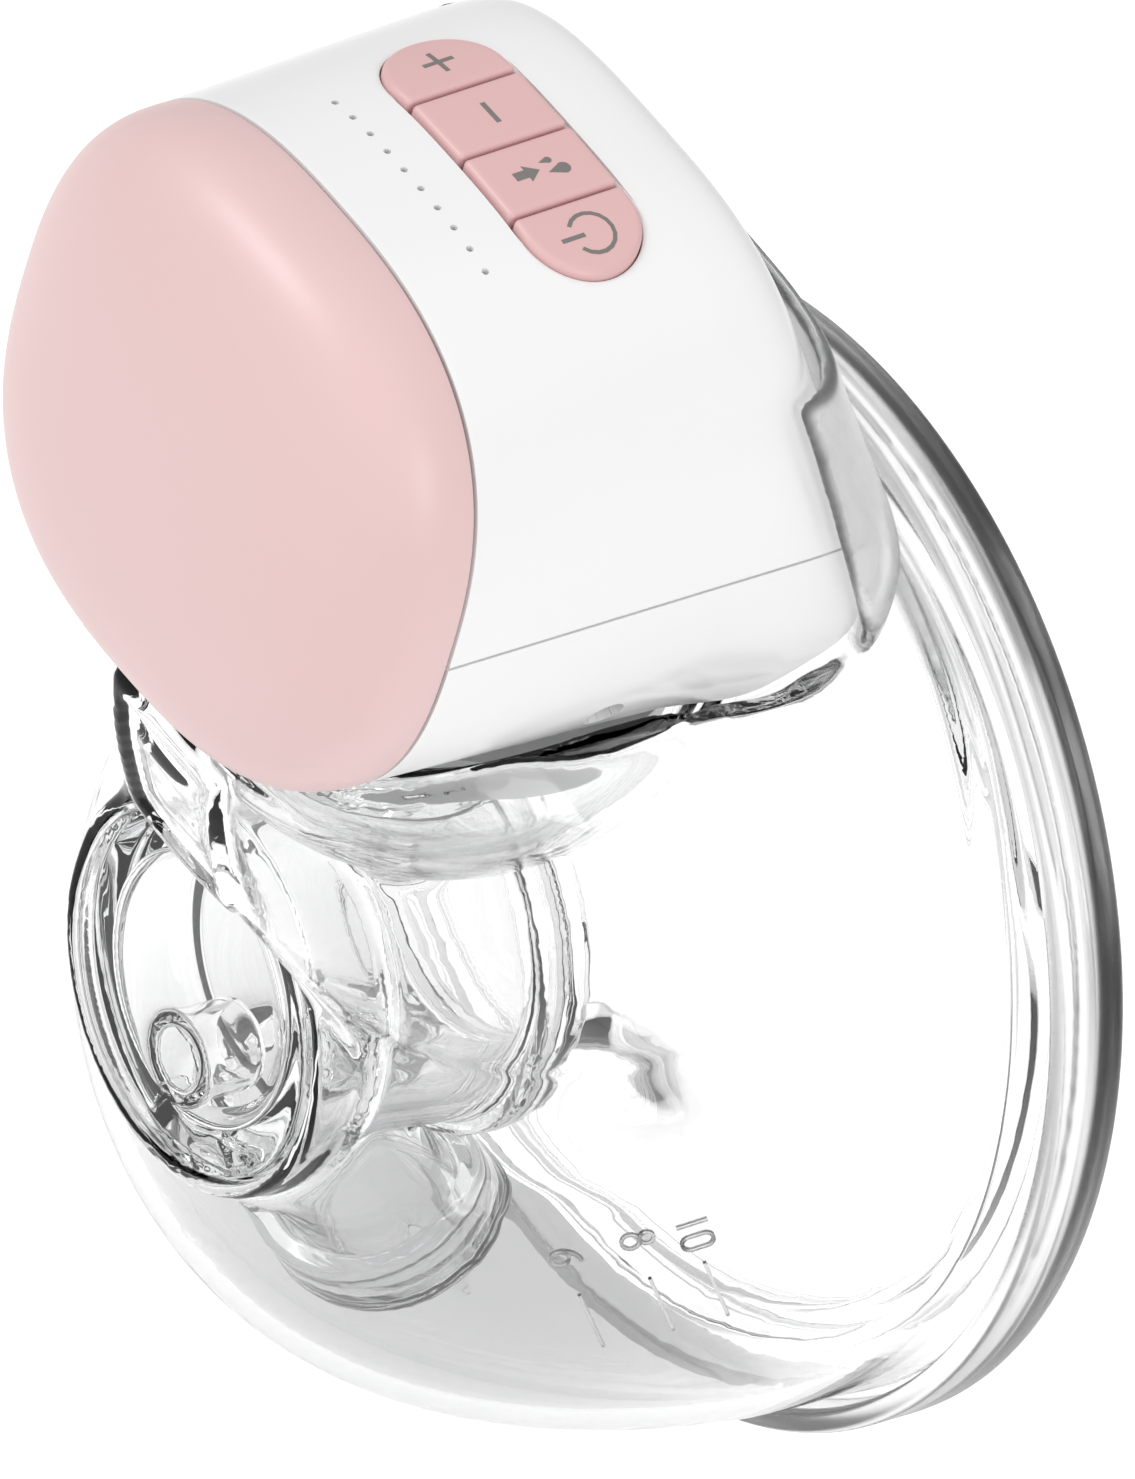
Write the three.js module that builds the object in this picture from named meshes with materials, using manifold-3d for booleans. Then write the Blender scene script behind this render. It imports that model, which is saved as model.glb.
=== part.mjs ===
// Wearable breast pump: a clear milk cup with a silicone flange at the wearer's side, a clear
// linker inside it, and a motor unit with a pink front cover that lifts off the top.
// Frame: millimetres. Origin at the centre of the flange's rim face, +Y towards the wearer,
// +Z up. The flange tunnel's axis is the Y axis.
import * as THREE from 'three';
import { mergeVertices } from 'three/addons/utils/BufferGeometryUtils.js';
import Module from 'manifold-3d';

const wasm = await Module();
wasm.setup();

// ---- driving dimensions ----
const GAP = 0.3;                 // gap kept between neighbouring pieces
const rim = { radius: 51.5, faceInner: 44, lipDepth: 7.5 };
const tunnel = { bore: 12, wall: 1.5, front: -50, stopRing: 16.2, stopY: -32.6 };
const cup = { radius: 48.8, wall: 1.8, back: -3.8, depth: 54.2, drop: 8, sag: 1.72, bulge: 1.2, round: 3.29 };
const bowl = { y: -46, z: 43, radius: 25.6, wall: 1.4, top: 50 };
const neck = {
  length: 69.4, halfWidth: 41, wall: 1.7, base: -10, lift: 42, top: 56, rimTop: 46.5, edge: 47,
  first: 0.062, rise: 0.108, round: 2.6, taper: 0.4545, power: 2.3,
};
const saddle = { top: 82, low: 45, width: 80, thick: 30, height: 62, y: -28, z: 73 };
const frontWindow = { radius: 16.4, collar: 18.2, y: -61, wall: 1.7 };
const sleeve = { bore: 13.9, radius: 15.2, frontRadius: 15.7, stepY: -51, rear: -33, collar: 16.9 };
const valve = { tilt: 38, y: -33, z: -30, ring: 10.8, ringLength: 7.4, spout: 8, spoutBore: 6.6, lips: 11 };
const motor = {
  seam: -71, back: -20, halfWidth: 28, halfHeight: 26.5, middle: 65.2, coverDepth: 12.7,
  coverRound: 2.85, wall: 2, parting: 63.3, slope: 2, slopeY: -36.5, slopeZ: 90, deck: 39.5,
};
const keys = { y: -53, width: 11, pitch: 7.6, proud: 0.6, travel: 0.5, count: 4, stem: 1.2 };
const lights = { y: -63.4, pitch: 2.5, radius: 0.45, count: 10, stripHalf: 12.6 };
const board = { z: 82, thick: 1.6, halfX: 16.5, front: -66, back: -44 };
const airPump = { y: -47, z: 67, radius: 10.5, from: -17.2, to: 2, headTo: 17.2, nozzleX: 12 };
const chamber = { radius: 8.6, depth: 9 };
const airPort = { radius: 2.6, bore: 1.1, low: 36.4, high: 46 };
const cell = { halfX: 17, front: -68, back: -61.2, low: 46.5, high: 80.5 };
const screw = { x: 20.5, front: -62, back: -36, shank: 0.95, head: 2, seat: 48.4, tip: 72 };
const socket = { x: 24.6, y: -48.5, z: 49.2, radius: 3, bore: 1.6 };

// ---- materials ----
const plastic = (color, roughness, extra = {}) =>
  new THREE.MeshStandardMaterial({ color, roughness, metalness: 0, ...extra });
const metal = (color, roughness) => new THREE.MeshStandardMaterial({ color, roughness, metalness: 1 });
const clear = plastic(0xf2f5f6, 0.05, { transparent: true, opacity: 0.35 });
const silicone = plastic(0xe8ecee, 0.3, { transparent: true, opacity: 0.55 });
const white = plastic(0xeeeef0, 0.35);
const pink = plastic(0xe8bfc2, 0.4);
const green = plastic(0x1d6b3a, 0.5);
const black = plastic(0x222326, 0.5);
const silver = metal(0xb8babd, 0.35);
const foil = plastic(0x8fa3ad, 0.45);

const group = new THREE.Group();

// ---- geometry helpers ----
function signedVolume(positions, index) {
  let sum = 0;
  const at = (i) => new THREE.Vector3().fromArray(positions, 3 * index[i]);
  for (let i = 0; i < index.length; i += 3) sum += at(i).dot(at(i + 1).cross(at(i + 2)));
  return sum;
}

// A closed geometry as a solid, with its faces turned outwards.
function solid(geometry) {
  const bare = geometry.clone();
  bare.deleteAttribute('normal');
  bare.deleteAttribute('uv');
  const merged = mergeVertices(bare, 1e-4);
  const positions = Float32Array.from(merged.attributes.position.array);
  const kept = [];
  const source = merged.index.array;
  for (let i = 0; i < source.length; i += 3) {
    const [a, b, c] = [source[i], source[i + 1], source[i + 2]];
    if (a !== b && b !== c && c !== a) kept.push(a, b, c);
  }
  if (signedVolume(positions, kept) < 0) {
    for (let i = 0; i < kept.length; i += 3) [kept[i], kept[i + 1]] = [kept[i + 1], kept[i]];
  }
  const mesh = new wasm.Mesh({ numProp: 3, vertProperties: positions, triVerts: Uint32Array.from(kept) });
  return new wasm.Manifold(mesh);
}

const join = (...solids) => solids.reduce((whole, next) => whole.add(next));
const cut = (whole, ...tools) => tools.reduce((left, tool) => left.subtract(tool), whole);

function toGeometry(manifold) {
  const result = manifold.getMesh();
  const geometry = new THREE.BufferGeometry();
  geometry.setAttribute('position', new THREE.BufferAttribute(result.vertProperties, 3));
  geometry.setIndex(new THREE.BufferAttribute(result.triVerts, 1));
  geometry.computeVertexNormals();
  return geometry;
}

function addPiece(name, manifold, material) {
  const mesh = new THREE.Mesh(toGeometry(manifold), material);
  mesh.name = name;
  group.add(mesh);
}

// A box between two corners.
function box(low, high) {
  const size = high.map((value, i) => value - low[i]);
  const geometry = new THREE.BoxGeometry(...size);
  geometry.translate(...low.map((value, i) => value + size[i] / 2));
  return solid(geometry);
}

// A cylinder or cone between two points.
function rod(from, to, radius, endRadius = radius, sides = 24) {
  const start = new THREE.Vector3(...from);
  const end = new THREE.Vector3(...to);
  const direction = end.clone().sub(start);
  const geometry = new THREE.CylinderGeometry(endRadius, radius, direction.length(), sides);
  const turn = new THREE.Quaternion().setFromUnitVectors(new THREE.Vector3(0, 1, 0), direction.normalize());
  geometry.applyQuaternion(turn);
  const middle = start.add(end).multiplyScalar(0.5);
  geometry.translate(middle.x, middle.y, middle.z);
  return solid(geometry);
}

// A closed profile of [radius, height] points turned about the Y axis.
function turned(profile, sides = 32) {
  const points = profile.map(([radius, height]) => new THREE.Vector2(radius, height));
  return solid(new THREE.LatheGeometry(points, sides));
}

// The same, turned about an upright axis through (0, y).
function turnedUpright(profile, y, sides = 28) {
  const points = profile.map(([radius, height]) => new THREE.Vector2(radius, height));
  const geometry = new THREE.LatheGeometry(points, sides);
  geometry.rotateX(Math.PI / 2);
  geometry.translate(0, y, 0);
  return solid(geometry);
}

// Rings of points joined into a closed skin, with a flat cap at each end.
function loft(rings) {
  const count = rings[0].length;
  const positions = rings.flat().flatMap((point) => [point.x, point.y, point.z]);
  const index = [];
  for (let ring = 0; ring + 1 < rings.length; ring += 1) {
    for (let i = 0; i < count; i += 1) {
      const a = ring * count + i;
      const b = ring * count + ((i + 1) % count);
      index.push(a, b, a + count, b, b + count, a + count);
    }
  }
  [0, rings.length - 1].forEach((ring) => {
    const centre = rings[ring].reduce((sum, point) => sum.add(point), new THREE.Vector3());
    centre.divideScalar(count);
    const hub = positions.length / 3;
    positions.push(centre.x, centre.y, centre.z);
    for (let i = 0; i < count; i += 1) {
      const a = ring * count + i;
      const b = ring * count + ((i + 1) % count);
      index.push(...(ring === 0 ? [b, a, hub] : [a, b, hub]));
    }
  });
  const geometry = new THREE.BufferGeometry();
  geometry.setAttribute('position', new THREE.Float32BufferAttribute(positions, 3));
  geometry.setIndex(index);
  return solid(geometry);
}

// One ring across the Y axis: a squircle of the given power, or a circle at power 2.
function ringAcrossY(y, middle, halfWidth, halfHeight, power, count = 24) {
  return Array.from({ length: count }, (_, i) => {
    const angle = (2 * Math.PI * i) / count;
    const [c, s] = [Math.cos(angle), Math.sin(angle)];
    const reach = (Math.abs(c) ** power + Math.abs(s) ** power) ** (-1 / power);
    return new THREE.Vector3(halfWidth * reach * c, y, middle + halfHeight * reach * s);
  });
}

// ---- the motor unit's outer form, grown or shrunk by an offset ----
const softLow = (a, b, blend) => -blend * Math.log(Math.exp(-a / blend) + Math.exp(-b / blend));
const softHigh = (a, b, blend) => -softLow(-a, -b, blend);

function motorRing(y, grow) {
  const topPlane = 91.7 + 1.6 * Math.min((y - motor.seam) / 26, 1) + grow;
  const backSlope = motor.slopeZ - motor.slope * (y - motor.slopeY) + grow * Math.hypot(1, motor.slope);
  const top = softLow(topPlane, backSlope, 2.2);
  const bottom = softHigh(motor.deck - 0.8 - grow, 50 + 1.1 * (y + 21) - 1.5 * grow, 1.2);
  const along = (y - motor.seam) / (motor.back - motor.seam);
  const power = 2.6 + 0.8 * Math.min(Math.max(along, 0), 1);
  const closeStart = -27;
  const closeLength = motor.back + grow - closeStart;
  const closing = Math.max(0, y - closeStart) / closeLength;
  const shrink = (1 - closing ** 3) ** (1 / 3);
  const halfWidth = (motor.halfWidth - 1.2 * Math.min(Math.max(along, 0), 1) + grow) * shrink;
  return ringAcrossY(y, (top + bottom) / 2, halfWidth, ((top - bottom) / 2) * shrink, power);
}

function coverRing(step, grow) {
  const depth = motor.coverDepth + grow;
  const scale = (1 - step ** motor.coverRound) ** (1 / motor.coverRound);
  const halfWidth = (motor.halfWidth + grow) * scale;
  const halfHeight = (motor.halfHeight + grow) * scale;
  return ringAcrossY(motor.seam - depth * step, motor.middle, halfWidth, halfHeight, 2.6);
}

function motorForm(grow) {
  const coverSteps = [0.98, 0.9, 0.77, 0.58, 0.3];
  const stations = [-71, -62, -52, -44, -40.5, -37.5, -34, -27, -24.3, -22.2];
  const endRing = motor.back + grow - 0.35;
  const bodyRings = stations.filter((y) => y < endRing - 0.5).map((y) => motorRing(y, grow));
  return loft([...coverSteps.map((step) => coverRing(step, grow)), ...bodyRings, motorRing(endRing, grow)]);
}

const FAR = 200;
const ahead = (y) => box([-FAR, -FAR, -FAR], [FAR, y, FAR]);
const behind = (y) => box([-FAR, y, -FAR], [FAR, FAR, FAR]);
const above = (z) => box([-FAR, -FAR, z], [FAR, FAR, FAR]);
const below = (z) => box([-FAR, -FAR, -FAR], [FAR, FAR, z]);

const outerForm = motorForm(0);
const innerForm = motorForm(-motor.wall);
const pocketForm = motorForm(0.8);
const pocketWall = motorForm(2.4);

// ---- flange: tunnel, funnel, shallow dish, and the rim that grips the cup's edge ----
function flange() {
  const outside = tunnel.bore + tunnel.wall;
  const stop = tunnel.stopY;
  return turned([
    [rim.radius - 0.5, -rim.lipDepth], [rim.radius, -6.6], [rim.radius, -1.4], [51, -0.4], [50, 0],
    [rim.faceInner, 0], [43, -0.3], [38, -2.1], [31, -4.4], [26, -6.5], [21, -9.7], [17, -13.7],
    [14.3, -17.8], [12.6, -22], [tunnel.bore, -26], [tunnel.bore, tunnel.front], [outside, tunnel.front],
    [outside, stop], [tunnel.stopRing, stop], [tunnel.stopRing, stop + 2], [outside + 0.1, stop + 2.2],
    [14.2, -24.6], [15.9, -19.4], [18.6, -15.2], [22.4, -11.5], [27, -8.5], [31.8, -6.3], [39, -4],
    [40.8, -3.3], [40.8, -5.4], [41.9, -5.4], [41.9, -3], [43.3, -2.9], [43.3, -7.8], [44.6, -7.8],
    [44.6, -3.4], [49.3, -3.4], [49.3, -rim.lipDepth], [rim.radius - 0.5, -rim.lipDepth],
  ]);
}
addPiece('flange', flange(), silicone);

// ---- milk cup: bulging body, neck under the motor, window collar and the saddle wall ----
function cupBody(inset) {
  const rings = [];
  const steps = 9;
  for (let i = 0; i <= steps; i += 1) {
    const t = 0.985 * (1 - (1 - i / steps) ** 1.6);
    const radius = cup.radius * (1 - t ** cup.bulge) ** (1 / cup.round) - inset;
    const ease = 1 - Math.exp(-((t / 0.12) ** 2));
    const middle = -ease * (cup.sag * Math.sin(Math.PI * t) + cup.drop * t);
    rings.push(ringAcrossY(cup.back - (cup.depth - inset) * t, middle, radius, radius, 2, 32));
  }
  if (inset > 0) rings[0] = ringAcrossY(cup.back + 3, 0, cup.radius - inset, cup.radius - inset, 2, 32);
  return loft(rings);
}

// A round bowl of the diaphragm's form, open upwards to the given height.
function roundBowl(radius, top) {
  const steps = 7;
  const profile = Array.from({ length: steps + 1 }, (_, i) => {
    const angle = (Math.PI / 2) * (i / steps);
    return [radius * Math.sin(angle), bowl.z - radius * Math.cos(angle)];
  });
  profile[0][0] = 0;
  return turnedUpright([...profile, [radius, top], [0, top]], bowl.y);
}

// The slab behind the motor unit's sloping back, reaching a little way round its sides.
function saddleRegion() {
  const wrap = 6;
  const geometry = new THREE.BoxGeometry(saddle.width, saddle.thick, saddle.height);
  geometry.translate(0, saddle.thick / 2 - wrap, 0);
  geometry.rotateX(Math.atan(1 / motor.slope));
  geometry.translate(0, saddle.y, saddle.z);
  return cut(solid(geometry), below(saddle.low), above(saddle.top));
}

// The neck that rises from the body to the underside of the motor unit.
function neckBody(grow) {
  const steps = [neck.first, 0.11, 0.17, 0.32, 0.48, 0.62, 0.74, 0.84, 0.92, 0.985];
  return loft(steps.map((s) => {
    const y = cup.back - (neck.length + grow) * s;
    const bottom = neck.base + neck.lift * s ** 4 - grow;
    const risen = Math.min((s - neck.first) / neck.rise, 1);
    const top = neck.rimTop + (neck.top - neck.rimTop) * risen + grow;
    const halfWidth = neck.halfWidth * (1 - s ** neck.round) ** neck.taper + grow;
    return ringAcrossY(y, (bottom + top) / 2, halfWidth, (top - bottom) / 2, neck.power, 28);
  }));
}

// A raised rectangular frame on the front of the neck, round the motor unit's latch.
function latchFrame() {
  const plate = (halfWidth, low, high) => box([-halfWidth, -90, low], [halfWidth, -55, high]);
  const skin = cut(neckBody(0.9), neckBody(-0.6));
  return cut(skin.intersect(plate(8, 17, 34)), plate(6, 19, 32));
}

function milkCup() {
  const collar = rod([0, frontWindow.y, 0], [0, -46, 0], frontWindow.collar, frontWindow.collar, 32);
  const saddleWall = pocketWall.intersect(saddleRegion());
  const neckOutside = cut(neckBody(0), above(neck.edge).intersect(ahead(-30)));
  const outside = join(cupBody(0), neckOutside, collar, saddleWall, latchFrame());
  const neckInside = cut(neckBody(-neck.wall), above(neck.edge - 1.2));
  const openBack = rod([0, -12, 0], [0, 5, 0], cup.radius - 3, cup.radius - cup.wall, 32);
  const cavity = cut(join(cupBody(cup.wall), neckInside, openBack), pocketWall);
  const seat = rod([0, bowl.y, bowl.z - 8], [0, bowl.y, 52], bowl.radius + 0.7, bowl.radius + 0.7, 28);
  const windowEdge = frontWindow.radius + 0.4;
  const windowHole = rod([0, -70, 0], [0, -40, 0], windowEdge, windowEdge, 32);
  const neckHole = rod([0, bowl.y, 8], [0, bowl.y, 20], 7, 7, 16);
  return cut(outside, cavity, pocketForm, seat, windowHole, neckHole, roundBowl(bowl.radius + 0.5, 52));
}

function largestBody(whole) {
  return whole.decompose().reduce((best, next) => (next.volume() > best.volume() ? next : best));
}
addPiece('milk_cup', largestBody(milkCup()), clear);

// ---- linker: front window, sleeve round the tunnel, diaphragm bowl, spout ----
const tilt = THREE.MathUtils.degToRad(valve.tilt);
const valveWay = [0, Math.sin(tilt), -Math.cos(tilt)];
const alongValve = (distance) => [
  0, valve.y + valveWay[1] * distance, valve.z + valveWay[2] * distance,
];

function linker() {
  const tube = turned([
    [0, frontWindow.y], [frontWindow.radius, frontWindow.y], [frontWindow.radius, frontWindow.y + 2.2],
    [sleeve.frontRadius, frontWindow.y + 2.6], [sleeve.frontRadius, sleeve.stepY],
    [sleeve.radius, sleeve.stepY + 0.6], [sleeve.radius, sleeve.rear - 3.6],
    [sleeve.collar, sleeve.rear - 3.2], [sleeve.collar, sleeve.rear], [0, sleeve.rear],
  ]);
  const tubeBore = turned([
    [0, frontWindow.y + frontWindow.wall], [12.4, frontWindow.y + frontWindow.wall],
    [12.4, tunnel.front - 0.6], [sleeve.bore, tunnel.front - 0.5], [sleeve.bore, -20], [0, -20],
  ]);
  const spout = rod(alongValve(-21), alongValve(3.2), valve.spout, valve.spout, 24);
  const spoutBore = rod(alongValve(-19.5), alongValve(9), valve.spoutBore, valve.spoutBore, 24);
  const shell = cut(roundBowl(bowl.radius, bowl.top), roundBowl(bowl.radius - bowl.wall, bowl.top + 1));
  const airNeck = rod([0, bowl.y, 12], [0, bowl.y, 19], 6.5, 6.5, 16);
  const airWay = rod([0, bowl.y, 5], [0, bowl.y, 24], 3, 3, 12);
  const milkWay = rod([0, -54.8, -10], alongValve(-13), 3.4, 3.4, 12);
  const body = cut(join(tube, spout, airNeck, shell), tubeBore, airWay, spoutBore, milkWay);
  return cut(body, pocketForm);
}
addPiece('linker', largestBody(linker()), clear);

// ---- suction diaphragm: a silicone bowl whose flat crown is drawn up and down ----
const membrane = { radius: bowl.radius - bowl.wall - 0.4, wall: 1.1, crown: 9 };
function membraneBowl() {
  const shell = cut(
    roundBowl(membrane.radius, bowl.top),
    roundBowl(membrane.radius - membrane.wall, bowl.top + 1),
  );
  return cut(shell, motorForm(1.2), rod([0, bowl.y, 0], [0, bowl.y, 32], membrane.crown + GAP));
}
addPiece('diaphragm_wall', membraneBowl(), silicone);

const crownBase = bowl.z - membrane.radius + 1.4;
addPiece('diaphragm_crown', turnedUpright([
  [0, crownBase], [membrane.crown - 0.6, crownBase], [membrane.crown, crownBase + 0.5],
  [membrane.crown, crownBase + 1.4], [membrane.crown - 1.2, crownBase + 1.8], [0, crownBase + 1.5],
], bowl.y, 24), silicone);

// ---- duckbill valve: a ring pressed over the spout, closing to two flat lips ----
function duckbill() {
  const ringStart = -2.2;
  const ringEnd = ringStart + valve.ringLength;
  const ring = rod(alongValve(ringStart), alongValve(ringEnd), valve.ring, valve.ring, 28);
  const holeRadius = valve.spout + GAP;
  const hole = rod(alongValve(ringStart - 1), alongValve(ringEnd - 1.5), holeRadius, holeRadius, 24);
  const wedge = (radius, endDepth, from, to) => {
    const rings = [0, 0.5, 1].map((t) => {
      const along = from + (to - from) * t;
      const flat = radius * (1 - t) + endDepth * t;
      const wide = radius * (1 - 0.25 * t);
      const centre = new THREE.Vector3(...alongValve(along));
      const across = new THREE.Vector3(0, Math.cos(tilt), Math.sin(tilt));
      return Array.from({ length: 24 }, (_, i) => {
        const angle = (2 * Math.PI * i) / 24;
        const point = centre.clone().addScaledVector(across, flat * Math.sin(angle));
        return point.add(new THREE.Vector3(wide * Math.cos(angle), 0, 0));
      });
    });
    return loft(rings);
  };
  const lips = wedge(7.4, 0.8, ringEnd - 0.5, ringEnd + valve.lips);
  const throat = wedge(6.3, 0.35, ringEnd - 3, ringEnd + valve.lips - 1.2);
  const slit = wedge(6.0, 0.12, ringEnd - 3, ringEnd + valve.lips + 1.5);
  return cut(join(ring, lips), hole, throat, slit);
}
addPiece('duckbill_valve', duckbill(), silicone);

// ---- motor unit's casings ----
const keyX = (i) => (i - (keys.count - 1) / 2) * keys.pitch;

// The pill-shaped strip that holds the four keys, seen from above, grown by an offset.
function keyStrip(grow) {
  const radius = keys.width / 2 + grow;
  const half = (keys.pitch * keys.count) / 2 - keys.width / 2;
  const ends = [-half, half].map((x) => rod([x, keys.y, 80], [x, keys.y, 100], radius, radius, 28));
  return join(box([-half, keys.y - radius, 80], [half, keys.y + radius, 100]), ...ends);
}

const lightSpots = Array.from(
  { length: lights.count },
  (_, i) => (i - (lights.count - 1) / 2) * lights.pitch,
);
const lightHoles = join(...lightSpots.map(
  (x) => rod([x, lights.y, 80], [x, lights.y, 100], lights.radius, lights.radius, 8),
));

const screwSpots = [screw.front, screw.back].flatMap((y) => [[-screw.x, y], [screw.x, y]]);
const atScrews = (low, high, radius, sides = 12) =>
  join(...screwSpots.map(([x, y]) => rod([x, y, low], [x, y, high], radius, radius, sides)));
const bossRadius = 2.7;
const screwHoles = atScrews(40, screw.tip + 2, screw.shank + GAP, 10);
const headHoles = atScrews(36, screw.seat + 2.1, screw.head + GAP);

const casing = cut(outerForm, innerForm).intersect(behind(motor.seam + GAP / 2));
function upperHousing() {
  const shell = casing.intersect(above(motor.parting + GAP / 2));
  const posts = atScrews(motor.parting + GAP / 2, 92, bossRadius).intersect(motorForm(-0.8));
  return cut(join(shell, posts), screwHoles, keyStrip(GAP), lightHoles);
}
addPiece('upper_housing', upperHousing(), white);

const socketWay = new THREE.Vector3(0.76, 0, -0.65).normalize();
const socketSpot = (distance) => [
  socket.x + socketWay.x * distance, socket.y, socket.z + socketWay.z * distance,
];

function lowerHousing() {
  const shell = casing.intersect(below(motor.parting - GAP / 2));
  const posts = atScrews(36, motor.parting - GAP / 2, bossRadius).intersect(motorForm(-0.8));
  const spigot = rod([0, bowl.y, 37.2], [0, bowl.y, 40.5], 21, 21, 28);
  const port = rod([0, bowl.y, airPort.low], [0, bowl.y, airPort.high], airPort.radius, airPort.radius, 16);
  const portBore = rod([0, bowl.y, 30], [0, bowl.y, 50], airPort.bore, airPort.bore, 12);
  const socketHole = rod(socketSpot(-1), socketSpot(8), socket.bore + 0.2, socket.bore + 0.2, 16);
  return cut(join(shell, posts, spigot, port), portBore, screwHoles, headHoles, socketHole);
}
addPiece('lower_housing', lowerHousing(), white);

function frontCover() {
  const shell = cut(outerForm, innerForm).intersect(ahead(motor.seam - GAP / 2));
  const tongueZone = behind(motor.seam - 1).intersect(ahead(motor.seam + 2.5));
  const tongue = cut(motorForm(-motor.wall - GAP), motorForm(-motor.wall - 1.5)).intersect(tongueZone);
  const web = cut(outerForm, motorForm(-motor.wall - 1.5));
  const root = web.intersect(behind(motor.seam - 2.5)).intersect(ahead(motor.seam - 0.6));
  return join(shell, tongue, root);
}
addPiece('front_cover', frontCover(), pink);

// ---- keys: caps that follow the casing's top, each with a retaining ledge and a stem ----
const boardTop = board.z + board.thick;
const buttonTop = boardTop + 2.7;
const stemLow = buttonTop + keys.travel + 0.2;
const keyCapZone = cut(keyStrip(0).intersect(motorForm(keys.proud)), motorForm(-2.6));
const ledgeZone = cut(motorForm(-2.4), motorForm(-3.4));
const keyKinds = ['plus', 'minus', 'mode', 'power'];
keyKinds.forEach((kind, i) => {
  const low = keyX(i) - keys.pitch / 2 + GAP / 2;
  const high = low + keys.pitch - GAP;
  const capSlice = box([low, -80, 80], [high, -40, 100]);
  const ledge = ledgeZone.intersect(box([low, keys.y - 6.6, 84], [high, keys.y + 6.6, 95]));
  const stem = rod([keyX(i), keys.y, stemLow], [keyX(i), keys.y, 90.3], keys.stem, keys.stem, 12);
  const core = motorForm(-2).intersect(box([low + 1, keys.y - 4, 87.4], [high - 1, keys.y + 4, 93]));
  addPiece(`key_${kind}`, largestBody(join(keyCapZone.intersect(capSlice), ledge, core, stem)), pink);
});

// ---- electronics ----
addPiece(
  'control_board',
  box([-board.halfX, board.front, board.z], [board.halfX, board.back, boardTop]),
  green,
);

keyKinds.forEach((kind, i) => {
  const low = [keyX(i) - 2.3, keys.y - 2.3, boardTop + GAP];
  const high = [keyX(i) + 2.3, keys.y + 2.3, boardTop + 2.1];
  const button = rod([keyX(i), keys.y, boardTop + 2], [keyX(i), keys.y, buttonTop], 1, 1, 12);
  addPiece(`switch_${kind}`, join(box(low, high), button), black);
});

addPiece('indicator_strip', join(
  box(
    [-lights.stripHalf, lights.y - 1.2, boardTop + GAP],
    [lights.stripHalf, lights.y + 1.2, boardTop + 0.6],
  ),
  ...lightSpots.map((x) => box(
    [x - 0.8, lights.y - 0.4, boardTop + 0.5],
    [x + 0.8, lights.y + 0.4, boardTop + 1],
  )),
), white);

addPiece('light_guide', join(
  box([-lights.stripHalf, lights.y - 1.3, boardTop + 1.3], [lights.stripHalf, lights.y + 1.3, boardTop + 3]),
  ...lightSpots.map((x) => {
    const pegTop = 89.6 - 0.011 * x * x;
    return rod([x, lights.y, boardTop + 2.5], [x, lights.y, pegTop], 0.3, 0.3, 6);
  }),
), clear);

addPiece('battery', box([-cell.halfX, cell.front, cell.low], [cell.halfX, cell.back, cell.high]), foil);

screwSpots.forEach(([x, y], i) => {
  const head = rod([x, y, screw.seat], [x, y, screw.seat + 1.8], screw.head, screw.head, 12);
  const shank = rod([x, y, screw.seat + 1.6], [x, y, screw.tip], screw.shank, screw.shank, 10);
  addPiece(`housing_screw_${i + 1}`, join(head, shank), silver);
});

addPiece('charging_socket', cut(
  rod(socketSpot(-8.4), socketSpot(-3.4), socket.radius, socket.radius, 20),
  rod(socketSpot(-7.4), socketSpot(3), socket.bore, socket.bore, 16),
), black);

// ---- air pump: motor can, pump head with its eccentric, release valve and hose ----
addPiece('pump_motor', rod(
  [airPump.from, airPump.y, airPump.z],
  [airPump.to, airPump.y, airPump.z],
  airPump.radius,
  airPump.radius,
  28,
), silver);

const headFrom = airPump.to + GAP;
addPiece('pump_head', join(cut(
  box([headFrom, airPump.y - 10.5, airPump.z - 10.5], [airPump.headTo, airPump.y + 10.5, airPump.z + 10.5]),
  rod([headFrom - 1, airPump.y, airPump.z], [headFrom + chamber.depth, airPump.y, airPump.z],
    chamber.radius, chamber.radius, 28),
), rod(
  [airPump.nozzleX, airPump.y, airPump.z - 13],
  [airPump.nozzleX, airPump.y, airPump.z - 10],
  1.6,
  1.6,
  12,
)), black);

addPiece('pump_eccentric', join(
  rod([headFrom + GAP, airPump.y, airPump.z], [headFrom + 4.5, airPump.y, airPump.z], 5, 5, 24),
  rod([headFrom + 4, airPump.y, airPump.z + 2.4], [headFrom + 7.5, airPump.y, airPump.z + 2.4], 1.2, 1.2, 12),
), silver);

addPiece('release_valve', join(
  box([-15, -43, 46.5], [-5, -34, 52.8]),
  rod([-6, -38.5, 49.5], [-1.8, -38.5, 49.5], 1.5, 1.5, 12),
), black);

function airHose() {
  const route = new THREE.CatmullRomCurve3([
    [airPump.nozzleX, airPump.y, airPump.z - 13.3], [airPump.nozzleX, airPump.y, airPump.z - 14.4],
    [9, airPump.y + 0.2, 48.4],
    [3.2, bowl.y - 0.4, 48.2], [0, bowl.y, 47.2], [0, bowl.y, airPort.high + GAP],
  ].map((point) => new THREE.Vector3(...point)));
  const section = new THREE.Shape();
  section.absarc(0, 0, 1.5, 0, 2 * Math.PI);
  const bore = new THREE.Path();
  bore.absarc(0, 0, 0.8, 0, 2 * Math.PI);
  section.holes.push(bore);
  const options = { steps: 12, curveSegments: 4, bevelEnabled: false, extrudePath: route };
  return solid(new THREE.ExtrudeGeometry(section, options));
}
addPiece('air_hose', airHose(), silicone);

export default group;
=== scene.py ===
import math

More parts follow.
